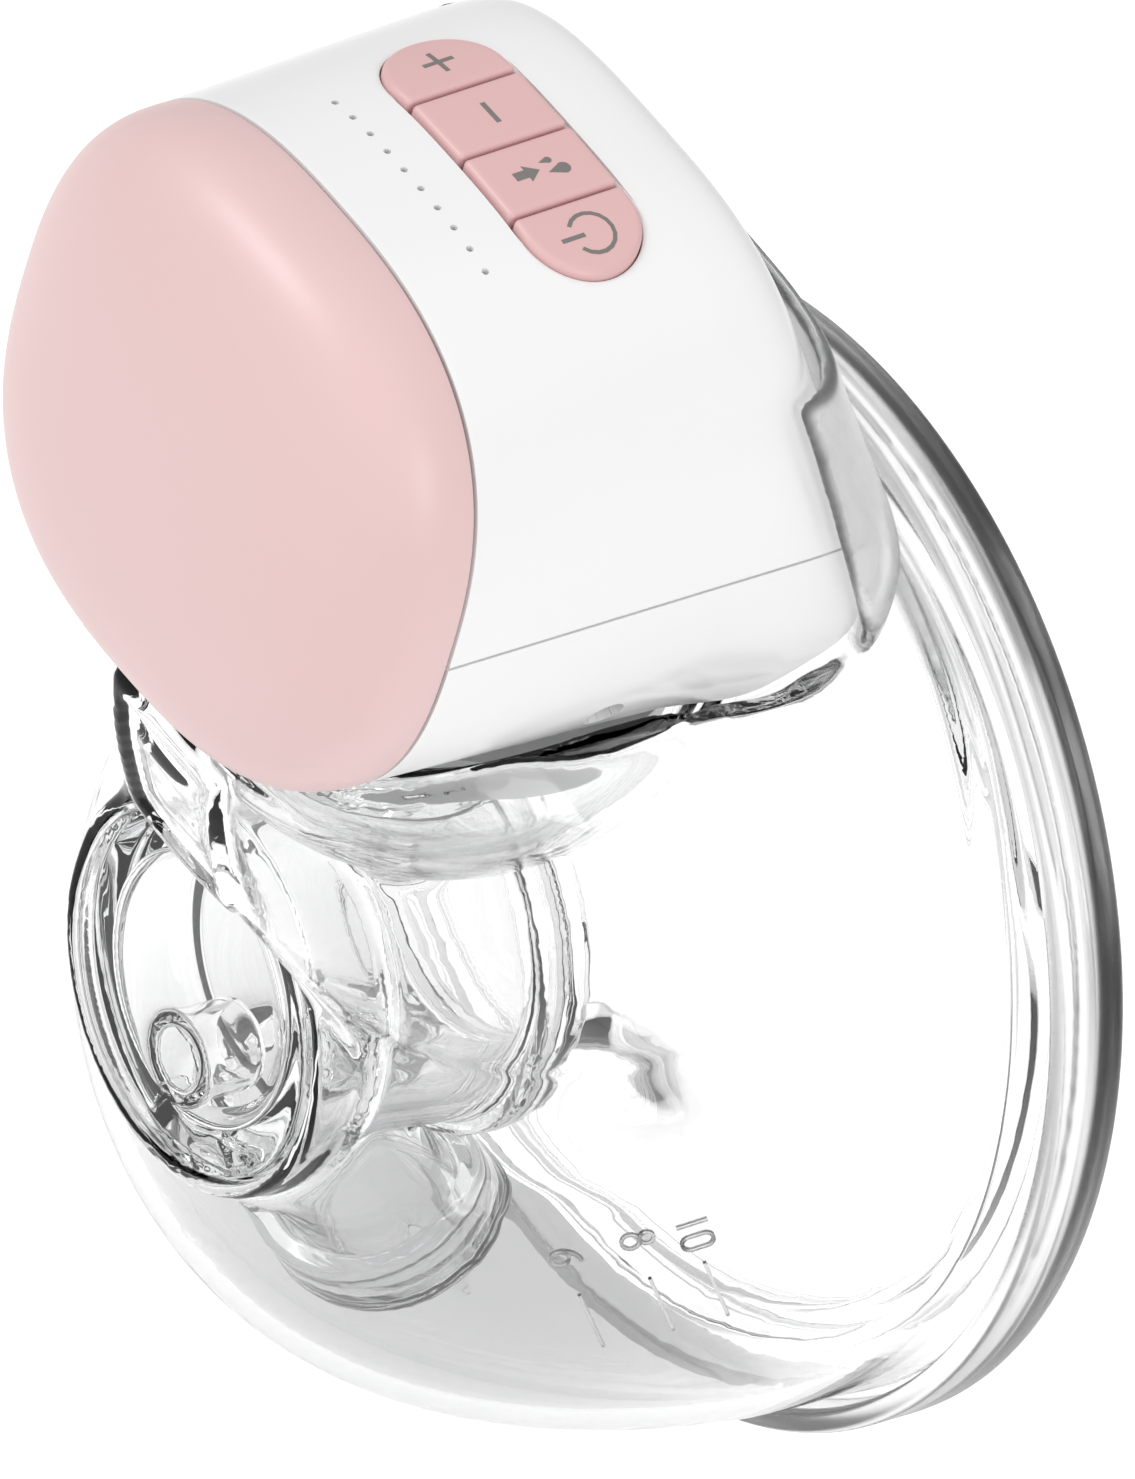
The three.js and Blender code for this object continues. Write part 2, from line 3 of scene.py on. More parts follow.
import bmesh
import bpy
import numpy as np
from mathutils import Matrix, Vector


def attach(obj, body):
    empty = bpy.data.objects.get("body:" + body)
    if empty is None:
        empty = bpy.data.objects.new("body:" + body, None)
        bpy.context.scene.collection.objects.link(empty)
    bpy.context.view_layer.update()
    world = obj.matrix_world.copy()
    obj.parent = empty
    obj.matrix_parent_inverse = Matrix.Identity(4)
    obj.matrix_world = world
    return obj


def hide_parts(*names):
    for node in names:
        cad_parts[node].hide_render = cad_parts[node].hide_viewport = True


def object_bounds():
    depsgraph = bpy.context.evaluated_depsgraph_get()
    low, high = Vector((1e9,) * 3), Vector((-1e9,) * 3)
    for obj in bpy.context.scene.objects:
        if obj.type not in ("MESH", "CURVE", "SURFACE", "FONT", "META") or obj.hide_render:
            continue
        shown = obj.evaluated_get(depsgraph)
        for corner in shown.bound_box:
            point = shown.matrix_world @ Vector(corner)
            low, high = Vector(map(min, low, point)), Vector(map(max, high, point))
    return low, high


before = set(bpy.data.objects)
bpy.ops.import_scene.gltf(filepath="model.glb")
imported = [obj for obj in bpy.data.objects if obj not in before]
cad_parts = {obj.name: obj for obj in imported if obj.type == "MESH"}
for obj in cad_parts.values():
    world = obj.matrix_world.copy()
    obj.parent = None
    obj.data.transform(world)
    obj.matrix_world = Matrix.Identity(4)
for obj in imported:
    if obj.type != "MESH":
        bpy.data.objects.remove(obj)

import openvdb
from mathutils import Matrix, Vector

CAD_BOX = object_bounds()

# Shapes are worked out in the CAD model's millimetres and turned into metres in make_piece.
# Frame: origin at the centre of the flange's rim face, +Y towards the wearer, +Z up.
MM = 0.001
GAP = 0.3

# ---- driving dimensions in millimetres, as in the CAD model ----
# Milk cup: a round bowl that sinks towards the front, and the neck that rises from it.
CUP_RADIUS = 48.8
CUP_WALL = 1.8
CUP_BACK = -3.8
CUP_DEPTH = 54.2
CUP_DROP = 8.0
CUP_SAG = 1.72
NECK_LENGTH = 69.4
NECK_HALF_WIDTH = 41.0
NECK_TOP = 56.0
NECK_RIM_TOP = 46.5
NECK_EDGE = 47.0
SADDLE_TOP = 82.0
SADDLE_LOW = 45.0

# Linker: the front window, its collar in the cup, the diaphragm's bowl and the milk spout.
WINDOW_RADIUS = 16.4
WINDOW_COLLAR = 18.2
WINDOW_Y = -61.0
WINDOW_WALL = 1.7
BOWL_Y = -46.0
BOWL_Z = 43.0
BOWL_RADIUS = 25.6
BOWL_WALL = 1.4
BOWL_TOP = 50.0
SPOUT_RADIUS = 8.0
SPOUT_BORE = 6.6
VALVE_TILT = 38.0
VALVE_Y = -33.0
VALVE_Z = -30.0
VALVE_RING = 10.8

# Motor unit: the seam between cover and casings, the casings' back end and the parting plane. Its
# top rises by TOP_RISE behind the seam, and its back falls by SLOPE per mm, through SLOPE_Z at SLOPE_Y.
SEAM_Y = -71.0
CLOSE_Y = -27.0
BACK_Y = -20.0
MOTOR_TOP = 91.7
TOP_RISE = 1.6
SLOPE = 2
SLOPE_Y = -36.5
SLOPE_Z = 90
MOTOR_LOW = 38.7
HALF_WIDTH = 28.0
HALF_HEIGHT = 26.5
MIDDLE_Z = 65.2
COVER_DEPTH = 12.7
COVER_ROUND = 2.85
COVER_SQUARE = 2.6
CASING_WALL = 2.0
PARTING_Z = 63.3
KEY_Y = -53.0
KEY_WIDTH = 11.0
KEY_PITCH = 7.6
KEY_PROUD = 0.6
KEY_COUNT = 4
LIGHT_Y = -63.4
LIGHT_PITCH = 2.5
LIGHT_RADIUS = 0.33
LIGHT_COUNT = 10

# Studio, in metres.
FLOOR_DROP = 0.12
FLOOR_HALF = 3.0

# How often light may bounce, so that it gets through all the clear walls.
BOUNCES = 64


# ---- camera ----
def make_camera():
    """A long lens above and to the right of the front, rolled so that the pump leans back."""
    azimuth, elevation, roll = (math.radians(angle) for angle in (44.2, 39.05, 17.1))
    distance, frame_height, sensor = 3.4, 0.1262, 36.0
    centre = Vector((-14.0, -11.75, 1.83)) * MM
    level = Vector((math.cos(azimuth), math.sin(azimuth), 0))
    towards = Vector((math.sin(azimuth) * math.cos(elevation),
                      -math.cos(azimuth) * math.cos(elevation), math.sin(elevation)))
    right = level * math.cos(roll) + towards.cross(level) * math.sin(roll)
    up = towards.cross(right)
    data = bpy.data.cameras.new("camera")
    data.sensor_width = sensor
    data.lens = sensor * distance / frame_height
    data.clip_end = 20.0
    camera = bpy.data.objects.new("camera", data)
    bpy.context.scene.collection.objects.link(camera)
    turn = Matrix((right, up, towards)).transposed()
    camera.matrix_world = Matrix.Translation(centre + towards * distance) @ turn.to_4x4()
    bpy.context.scene.camera = camera


make_camera()


# ---- materials ----
def new_material(name):
    """A new material, its node tree and its shader."""
    material = bpy.data.materials.new(name)
    material.use_nodes = True
    tree = material.node_tree
    return material, tree, tree.nodes["Principled BSDF"]


def noise(tree, scale, detail=3.0):
    """Noise through the piece's own space, from 0 to 1."""
    place = tree.nodes.new("ShaderNodeTexCoord")
    texture = tree.nodes.new("ShaderNodeTexNoise")
    texture.inputs["Scale"].default_value = scale
    texture.inputs["Detail"].default_value = detail
    tree.links.new(place.outputs["Object"], texture.inputs["Vector"])
    return texture.outputs["Fac"]


def spread(tree, value, low, high):
    """The value's middle half stretched over low to high."""
    ramp = tree.nodes.new("ShaderNodeMapRange")
    ramp.inputs["From Min"].default_value = 0.3
    ramp.inputs["From Max"].default_value = 0.7
    ramp.inputs["To Min"].default_value = low
    ramp.inputs["To Max"].default_value = high
    tree.links.new(value, ramp.inputs["Value"])
    return ramp.outputs["Result"]


def add_bump(tree, shader, height, strength, distance):
    bump = tree.nodes.new("ShaderNodeBump")
    bump.inputs["Strength"].default_value = strength
    bump.inputs["Distance"].default_value = distance
    tree.links.new(height, bump.inputs["Height"])
    tree.links.new(bump.outputs["Normal"], shader.inputs["Normal"])


def moulded(name, light, dark, roughness, grain=2600.0, coat=0.0, metallic=0.0, bump=0.12, uneven=0.12):
    """Moulded plastic or plated metal: slow colour drift, fine grain and uneven gloss."""
    material, tree, shader = new_material(name)
    mix = tree.nodes.new("ShaderNodeMix")
    mix.data_type = "RGBA"
    mix.inputs["A"].default_value = (*dark, 1)
    mix.inputs["B"].default_value = (*light, 1)
    tree.links.new(spread(tree, noise(tree, 35.0), 0.0, 1.0), mix.inputs["Factor"])
    tree.links.new(mix.outputs["Result"], shader.inputs["Base Color"])
    gloss = spread(tree, noise(tree, 160.0), roughness * (1 - uneven), roughness * (1 + uneven))
    tree.links.new(gloss, shader.inputs["Roughness"])
    add_bump(tree, shader, noise(tree, grain, 2.0), bump, 0.00003)
    shader.inputs["Metallic"].default_value = metallic
    shader.inputs["Coat Weight"].default_value = coat
    shader.inputs["Coat Roughness"].default_value = 0.25
    return material


def paint_low_shade(tree, shader, low, high, painted_shade):
    """Paints shade into the piece's colour: grey at the low height, fading to clear at the high one."""
    place = tree.nodes.new("ShaderNodeTexCoord")
    split = tree.nodes.new("ShaderNodeSeparateXYZ")
    ramp = tree.nodes.new("ShaderNodeMapRange")
    ramp.interpolation_type = "SMOOTHSTEP"
    ramp.inputs["From Min"].default_value = low * MM
    ramp.inputs["From Max"].default_value = high * MM
    mix = tree.nodes.new("ShaderNodeMix")
    mix.data_type = "RGBA"
    mix.inputs["A"].default_value = (painted_shade, painted_shade, painted_shade * 1.01, 1)
    mix.inputs["B"].default_value = (1, 1, 1, 1)
    tree.links.new(place.outputs["Object"], split.inputs["Vector"])
    tree.links.new(split.outputs["Z"], ramp.inputs["Value"])
    tree.links.new(ramp.outputs["Result"], mix.inputs["Factor"])
    tree.links.new(mix.outputs["Result"], shader.inputs["Base Color"])


def frosting(tree, shader, roughness, low, high, frosted, radial):
    """Goes from polished at the low place to frosted at the high one. A place is a height, or a
    distance from the tunnel's axis."""
    place = tree.nodes.new("ShaderNodeTexCoord")
    ramp = tree.nodes.new("ShaderNodeMapRange")
    ramp.interpolation_type = "SMOOTHSTEP"
    ramp.inputs["From Min"].default_value = low * MM
    ramp.inputs["From Max"].default_value = high * MM
    ramp.inputs["To Min"].default_value = roughness
    ramp.inputs["To Max"].default_value = frosted
    if radial:
        flat = tree.nodes.new("ShaderNodeVectorMath")
        flat.operation = "MULTIPLY"
        flat.inputs[1].default_value = (1, 0, 1)
        size = tree.nodes.new("ShaderNodeVectorMath")
        size.operation = "LENGTH"
        tree.links.new(place.outputs["Object"], flat.inputs[0])
        tree.links.new(flat.outputs["Vector"], size.inputs[0])
        tree.links.new(size.outputs["Value"], ramp.inputs["Value"])
    else:
        split = tree.nodes.new("ShaderNodeSeparateXYZ")
        tree.links.new(place.outputs["Object"], split.inputs["Vector"])
        tree.links.new(split.outputs["Z"], ramp.inputs["Value"])
    tree.links.new(ramp.outputs["Result"], shader.inputs["Roughness"])


def clear(name, roughness, ior, wave, density, painted_shade=None, milk=0.0, frost=None):
    """Clear moulded plastic or silicone: a real wall that bends light and darkens along its edges.
    Painted shade greys its lower part, milk clouds it, and frost roughens one end of it."""
    material, tree, shader = new_material(name)
    shader.inputs["Base Color"].default_value = (1, 1, 1, 1)
    if painted_shade:
        paint_low_shade(tree, shader, *painted_shade)
    shader.inputs["Transmission Weight"].default_value = 1.0 - milk
    shader.inputs["IOR"].default_value = ior
    low, high = roughness * 0.7, roughness * 1.3
    if frost:
        frosting(tree, shader, roughness, *frost)
    else:
        tree.links.new(spread(tree, noise(tree, 160.0), low, high), shader.inputs["Roughness"])
    add_bump(tree, shader, noise(tree, 90.0, 1.0), wave, 0.0002)
    volume = tree.nodes.new("ShaderNodeVolumeAbsorption")
    volume.inputs["Color"].default_value = (0.52, 0.54, 0.55, 1)
    volume.inputs["Density"].default_value = density
    tree.links.new(volume.outputs["Volume"], tree.nodes["Material Output"].inputs["Volume"])
    return material


# The cup's lower part gets painted shade: its colour turns grey towards the bottom.
CUP_CLEAR = clear("cup_clear", 0.008, 1.36, 0.02, 12.0, painted_shade=(-56, -14, 0.45),
                  frost=(43, 50, 0.22, False))
LINKER_CLEAR = clear("linker_clear", 0.008, 1.42, 0.03, 14.0)
SILICONE = clear("silicone", 0.012, 1.4, 0.03, 5.0, frost=(48.8, 50.2, 0.3, True))
BOWL_SILICONE = clear("bowl_silicone", 0.015, 1.4, 0.03, 50.0)
MILKY = clear("milky_silicone", 0.012, 1.45, 0.02, 30.0, milk=0.07)
FROSTED = clear("frosted_mark", 0.35, 1.47, 0.0, 120.0)
WHITE = moulded("white_plastic", (0.83, 0.83, 0.83), (0.82, 0.82, 0.82), 0.3, coat=0.3, bump=0.01,
                uneven=0.03)
PINK = moulded("pink_plastic", (0.72, 0.51, 0.505), (0.71, 0.50, 0.495), 0.42, coat=0.12, bump=0.01,
               uneven=0.03)
KEY_PINK = moulded("key_pink", (0.70, 0.44, 0.44), (0.69, 0.43, 0.43), 0.4, bump=0.02, uneven=0.03)
PRINT = moulded("printed_grey", (0.19, 0.18, 0.17), (0.17, 0.16, 0.155), 0.5)
BOARD = moulded("circuit_board", (0.02, 0.16, 0.05), (0.015, 0.12, 0.04), 0.4)
BLACK = moulded("black_plastic", (0.025, 0.026, 0.028), (0.018, 0.019, 0.02), 0.45, bump=0.3)
STEEL = moulded("plated_steel", (0.62, 0.63, 0.64), (0.5, 0.51, 0.53), 0.3, metallic=1.0)
FOIL = moulded("battery_wrap", (0.3, 0.38, 0.43), (0.26, 0.34, 0.39), 0.35)
# The light guide is near-black, unlike the real clear part: painted shade that darkens the deep light
# holes above it.
GUIDE_HOLE_SHADE = moulded("light_guide", (0.05, 0.05, 0.05), (0.035, 0.035, 0.035), 0.3)


# ---- mesh helpers ----
def make_piece(name, points, faces, material, body, nodes=(), sharp=None):
    """A mesh object from points in millimetres, riding on a body."""
    mesh = bpy.data.meshes.new(name)
    mesh.from_pydata((np.asarray(points, float) * MM).tolist(), [], faces)
    work = bmesh.new()
    work.from_mesh(mesh)
    bmesh.ops.remove_doubles(work, verts=work.verts, dist=1e-6)
    bmesh.ops.dissolve_degenerate(work, edges=work.edges, dist=1e-7)
    bmesh.ops.recalc_face_normals(work, faces=work.faces)
    work.to_mesh(mesh)
    work.free()
    mesh.polygons.foreach_set("use_smooth", [True] * len(mesh.polygons))
    if sharp is not None:
        mesh.set_sharp_from_angle(angle=math.radians(sharp))
    mesh.materials.append(material)
    piece = bpy.data.objects.new(name, mesh)
    bpy.context.scene.collection.objects.link(piece)
    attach(piece, body)
    if nodes:
        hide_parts(*nodes)
    return piece


def apply_modifiers(piece):
    """Turns the piece's modifiers into mesh."""
    depsgraph = bpy.context.evaluated_depsgraph_get()
    made = bpy.data.meshes.new_from_object(piece.evaluated_get(depsgraph), depsgraph=depsgraph)
    piece.modifiers.clear()
    piece.data = made


def grid_faces(rows, columns, closed):
    """Quads of a grid of points; a closed grid joins its last column to its first."""
    faces = []
    for row in range(rows - 1):
        for column in range(columns if closed else columns - 1):
            a = row * columns + column
            b = row * columns + (column + 1) % columns
            faces.append((a, b, b + columns, a + columns))
    return faces


def rounded_profile(corners, steps=6):
    """A closed outline with each corner rounded. A corner is (radius, height, fillet), and a fillet
    of None bends evenly from the middle of one side to the middle of the next."""
    outline = []
    count = len(corners)
    for i, (r, h, fillet) in enumerate(corners):
        here = np.array((r, h))
        before = np.array(corners[i - 1][:2]) - here
        after = np.array(corners[(i + 1) % count][:2]) - here
        reach = []
        for side in (before, after):
            length = np.linalg.norm(side)
            reach.append(side * (0.5 if fillet is None else min(fillet / length, 0.49)))
        if fillet == 0:
            outline.append(here)
            continue
        for t in np.linspace(0, 1, steps):
            outline.append(here + reach[0] * (1 - t) ** 2 + reach[1] * t ** 2)
    return np.array(outline)


def revolved(profile, along, sides=144):
    """Points and faces of a closed outline of (radius, height) turned about the Y or Z axis."""
    angles = np.linspace(0, 2 * np.pi, sides, endpoint=False)
    radius, height = profile[:, 0], profile[:, 1]
    across = np.outer(np.cos(angles), radius)
    other = np.outer(np.sin(angles), radius)
    level = np.tile(height, (sides, 1))
    columns = (across, level, other) if along == "Y" else (across, other, level)
    points = np.stack(columns, axis=-1).reshape(-1, 3)
    count = len(profile)
    faces = []
    for i in range(sides):
        for j in range(count):
            a, b = i * count + j, i * count + (j + 1) % count
            c, d = ((i + 1) % sides) * count + (j + 1) % count, ((i + 1) % sides) * count + j
            faces.append((a, b, c, d))
    return points, faces


# ---- solids as distance fields on a grid ----
class Field:
    """A block of grid points on which shapes are given as distances: negative inside."""

    def __init__(self, low, high, step):
        self.low, self.step = np.array(low, float), step
        axes = [np.arange(a, b + step, step, dtype=np.float32) for a, b in zip(low, high)]
        self.x, self.y, self.z = np.meshgrid(*axes, indexing="ij")

    def distance(self, value):
        """A level function scaled by its slope, so that it is a distance close to its surface."""
        slopes = np.gradient(value, self.step)
        steepness = np.sqrt(sum(slope * slope for slope in slopes))
        return np.clip(value / np.maximum(steepness, 1e-4), -8, 8)

    def inside_of(self, loops, reach=8.0):
        """Distance, as far as the reach, to the closed form that runs through a row of loops."""
        points, faces = stacked(loops)
        shifted = (np.array(points) - self.low).astype(np.float32)
        triangles = np.array([face for face in faces if len(face) == 3], np.uint32)
        quads = np.array([face for face in faces if len(face) == 4], np.uint32)
        grid = openvdb.FloatGrid.createLevelSetFromPolygons(
            shifted, triangles=triangles, quads=quads,
            transform=openvdb.createLinearTransform(voxelSize=self.step), halfWidth=reach / self.step)
        value = np.zeros(self.x.shape, np.float32)
        grid.copyToArray(value)
        return value

    def mesh(self, value):
        """Points and faces of the surface where the value is zero."""
        grid = openvdb.FloatGrid(8.0)
        grid.copyFromArray(np.ascontiguousarray(value, dtype=np.float32))
        points, quads = grid.convertToQuads(isovalue=0.0)
        return points * self.step + self.low, quads.tolist()


def soft_join(a, b, blend):
    """Union with a fillet of about the blend's size along the joint."""
    mix = np.clip(0.5 + 0.5 * (b - a) / blend, 0, 1)
    return b * (1 - mix) + a * mix - blend * mix * (1 - mix)


def soft_meet(a, b, blend):
    """Intersection with its new edge rounded by about the blend's size."""
    return -soft_join(-a, -b, blend)


def rod_field(f, start, end, radius, blend=0.3):
    """A cylinder between two points, with slightly rounded ends."""
    start, end = np.array(start, float), np.array(end, float)
    length = np.linalg.norm(end - start)
    way = (end - start) / length
    px, py, pz = f.x - start[0], f.y - start[1], f.z - start[2]
    along = px * way[0] + py * way[1] + pz * way[2]
    off = np.sqrt(np.maximum(px * px + py * py + pz * pz - along * along, 0))
    return soft_meet(off - radius, np.abs(along - length / 2) - length / 2, blend)


def bowl_field(f, radius, top):
    """A hemisphere, open upwards, with a straight collar up to the given height."""
    off = np.sqrt(f.x ** 2 + (f.y - BOWL_Y) ** 2)
    below = np.sqrt(off ** 2 + np.minimum(f.z - BOWL_Z, 0) ** 2)
    return np.maximum(below - radius, f.z - top)


# ---- the motor unit's outer form ----
def soft_low(a, b, blend):
    """The lower of two values, with a smooth change from one to the other."""
    return -blend * np.logaddexp(-a / blend, -b / blend)


def soft_high(a, b, blend):
    """The higher of two values, with a smooth change from one to the other."""
    return -soft_low(-a, -b, blend)


def motor_section(y):
    """Half width, half height, middle height and squareness of the casing's section at y."""
    along = np.clip((y - SEAM_Y) / (BACK_Y - SEAM_Y), 0, 1)
    top_plane = MOTOR_TOP + TOP_RISE * np.minimum((y - SEAM_Y) / 26, 1)
    back_slope = SLOPE_Z - SLOPE * (y - SLOPE_Y)
    low_slope = 50 + 1.1 * (y + 21)
    top = soft_low(top_plane, back_slope, 2.2)
    bottom = soft_high(MOTOR_LOW, low_slope, 1.2)
    power = COVER_SQUARE + 0.8 * along
    return HALF_WIDTH - 1.2 * along, (top - bottom) / 2, (top + bottom) / 2, power


def closing_share(y):
    """How far the casing's rounded back end has closed: 0 where it starts and 1 at its tip."""
    return np.maximum(y - CLOSE_Y, 0) / (BACK_Y - CLOSE_Y)


def squircle(angle, half_width, half_height, middle, power):
    """The point of a rounded rectangle in that direction from its middle. The power sets how
    square it is."""
    c, s = np.cos(angle), np.sin(angle)
    reach = (np.abs(c) ** power + np.abs(s) ** power) ** (-1 / power)
    return half_width * reach * c, middle + half_height * reach * s


def casing_point(angle, y):
    """The point on the casing's section at y, in that direction from its middle."""
    half_width, half_height, middle, power = motor_section(np.float64(y))
    shrink = (1 - min(closing_share(y), 0.9995) ** 3) ** (1 / 3)
    return squircle(angle, half_width * shrink, half_height * shrink, middle, power)


def cover_loop(angle, around, start=SEAM_Y):
    """The front cover's outline at a step of its dome: 0 at its seam and a quarter turn at its tip."""
    scale = math.cos(angle) ** (2 / COVER_ROUND)
    y = start - (COVER_DEPTH - SEAM_Y + start) * math.sin(angle) ** (2 / COVER_ROUND)
    x, z = squircle(around, HALF_WIDTH * scale, HALF_HEIGHT * scale, MIDDLE_Z, COVER_SQUARE)
    return [(a, y, b) for a, b in zip(x, z)]


def motor_field(f):
    """Distance to the motor unit's outer form."""
    around = np.linspace(0, 2 * math.pi, 160, endpoint=False)
    loops = [cover_loop(angle, around) for angle in np.linspace(0.998 * math.pi / 2, 0, 30)]
    for share in np.linspace(0, 1, 60)[1:]:
        y = SEAM_Y + (BACK_Y - 0.02 - SEAM_Y) * (1 - (1 - share) ** 1.6)
        x, z = casing_point(around, y)
        loops.append([(a, y, b) for a, b in zip(x, z)])
    return f.inside_of(loops, 4.0)


def casing_top(x, y):
    """Height of the casing's top over a point."""
    half_width, half_height, middle, power = motor_section(np.asarray(y, float))
    return middle + half_height * (1 - (np.abs(x) / half_width) ** power) ** (1 / power)


# ---- flange ----
def make_flange():
    outside, stop = 13.5, -32.6
    corners = [
        (51.5, -7.5, 0.7), (51.5, 0.0, 2.4), (44.4, 0.0, 1.2), (43, -0.3, None), (38, -2.1, None),
        (31, -4.4, None), (26, -6.5, None), (21, -9.7, None), (17, -13.7, None), (14.3, -17.8, None),
        (12.6, -22, None), (12, -26, None), (12, -50, 0.5), (outside, -50, 0.5), (outside, stop, 0.4),
        (16.2, stop, 0.5), (16.2, stop + 2, 0.5), (outside + 0.1, stop + 2.2, 0.5), (14.2, -24.6, None),
        (15.9, -19.4, None), (18.6, -15.2, None), (22.4, -11.5, None), (27, -8.5, None),
        (31.8, -6.3, None), (39, -4, None), (40.8, -3.3, 0.4), (40.8, -5.4, 0.45), (41.9, -5.4, 0.45),
        (41.9, -3, 0.4), (43.3, -2.9, 0.4), (43.3, -7.8, 0.5), (44.6, -7.8, 0.5), (44.6, -3.4, 0.8),
        (49.3, -3.4, 0.8), (49.3, -7.5, 0.7),
    ]
    points, faces = revolved(rounded_profile(corners, 9), "Y", 192)
    piece = make_piece("flange_skin", points, faces, SILICONE, "pump_body", ["flange"])
    piece.modifiers.new("even_shading", "WEIGHTED_NORMAL")
    apply_modifiers(piece)


# ---- milk cup ----
def cup_body_field(f):
    """The round bowl: a circle that shrinks and drops towards the front."""
    around = np.linspace(0, 2 * math.pi, 180, endpoint=False)
    loops = []
    for share in np.linspace(-0.1, 0.999, 90):
        t = max(share, 0) * (2 - max(share, 0))
        ease = 1 - math.exp(-((t / 0.12) ** 2))
        middle = -ease * (CUP_SAG * math.sin(math.pi * t) + CUP_DROP * t)
        radius = CUP_RADIUS * (1 - t ** 1.2) ** (1 / 3.29)
        y = CUP_BACK - CUP_DEPTH * (t if share > 0 else share)
        loops.append([(radius * math.cos(a), y, middle + radius * math.sin(a)) for a in around])
    return f.inside_of(loops)


def neck_field(f):
    """The part that rises from the bowl and carries the window, narrowing towards the front."""
    around = np.linspace(0, 2 * math.pi, 180, endpoint=False)
    loops = []
    for s in np.linspace(0.063, 0.985, 70):
        bottom = -10 + 42 * s ** 4
        top = NECK_RIM_TOP + (NECK_TOP - NECK_RIM_TOP) * min((s - 0.062) / 0.108, 1)
        half_width = NECK_HALF_WIDTH * (1 - s ** 2.6) ** 0.4545
        x, z = squircle(around, half_width, (top - bottom) / 2, (top + bottom) / 2, 2.3)
        loops.append([(a, CUP_BACK - NECK_LENGTH * s, b) for a, b in zip(x, z)])
    return f.inside_of(loops)


def saddle_slab_field(f):
    """The slab behind the motor unit's sloping back, reaching a little way round its sides."""
    lean = math.atan(1 / SLOPE)
    y, z = f.y + 28, f.z - 73
    depth = y * math.cos(lean) + z * math.sin(lean)
    slab = soft_meet(-6 - depth, depth - 24, 0.8)
    return soft_meet(soft_meet(slab, f.z - SADDLE_TOP, 0.8), SADDLE_LOW - f.z, 0.8)


def make_milk_cup():
    motor_gap, saddle_outside = 0.8, 2.4
    latch_z, latch_half, latch_tall, latch_bar, latch_proud = 25.5, 8, 8.5, 2, 0.9
    f = Field((-50, -75, -51), (50, -3, 89), step=0.6)
    motor = motor_field(f)
    neck = neck_field(f)
    body = soft_join(cup_body_field(f), neck, 6.0)
    body = soft_join(body, rod_field(f, (0, WINDOW_Y, 0), (0, -46, 0), WINDOW_COLLAR, 0.8), 1.6)
    trimmed = soft_meet(body, np.minimum(f.z - NECK_EDGE, -30 - f.y), 1.0)
    saddle = soft_meet(motor - saddle_outside, motor_gap - motor, 0.5)
    saddle = soft_meet(saddle, saddle_slab_field(f), 0.7)
    outside = soft_join(trimmed, saddle, 1.2)
    across, upright = np.abs(f.x), np.abs(f.z - latch_z)
    frame_out = np.maximum(across - latch_half, upright - latch_tall)
    frame_in = np.maximum(across - (latch_half - latch_bar), upright - (latch_tall - latch_bar))
    latch = np.maximum(np.maximum(frame_out, -frame_in), np.maximum(neck - latch_proud, f.y + 55))
    outside = soft_join(outside, latch, 0.4)
    cavity = np.maximum(body + CUP_WALL, saddle_outside - motor)
    solid = soft_meet(outside, -cavity, 0.5)
    holes = [
        motor - motor_gap,
        rod_field(f, (0, BOWL_Y, 35), (0, BOWL_Y, 52), BOWL_RADIUS + 0.7),
        rod_field(f, (0, -75, 0), (0, -40, 0), WINDOW_RADIUS + 0.4),
        rod_field(f, (0, BOWL_Y, 8), (0, BOWL_Y, 20), 7.0),
        bowl_field(f, BOWL_RADIUS + 0.5, 52),
    ]
    for hole in holes:
        solid = soft_meet(solid, -hole, 0.5)
    solid = np.maximum(solid, f.y - CUP_BACK)
    points, faces = f.mesh(solid)
    piece = make_piece("milk_cup_shell", points, faces, CUP_CLEAR, "pump_body",
                       ["milk_cup"])
    smooth(piece, 4)
    return piece


def smooth(piece, times):
    """Evens out the grid's faint steps."""
    modifier = piece.modifiers.new("smooth", "SMOOTH")
    modifier.iterations = times
    modifier.factor = 0.5
    apply_modifiers(piece)


# ---- linker ----
def along_valve(distance):
    tilt = math.radians(VALVE_TILT)
    return (0, VALVE_Y + math.sin(tilt) * distance, VALVE_Z - math.cos(tilt) * distance)


def step_between(y, place, before, after, width=0.6):
    """Goes from one value to another round a place along Y."""
    share = np.clip((y - place) / width + 0.5, 0, 1)
    return before + (after - before) * share * share * (3 - 2 * share)


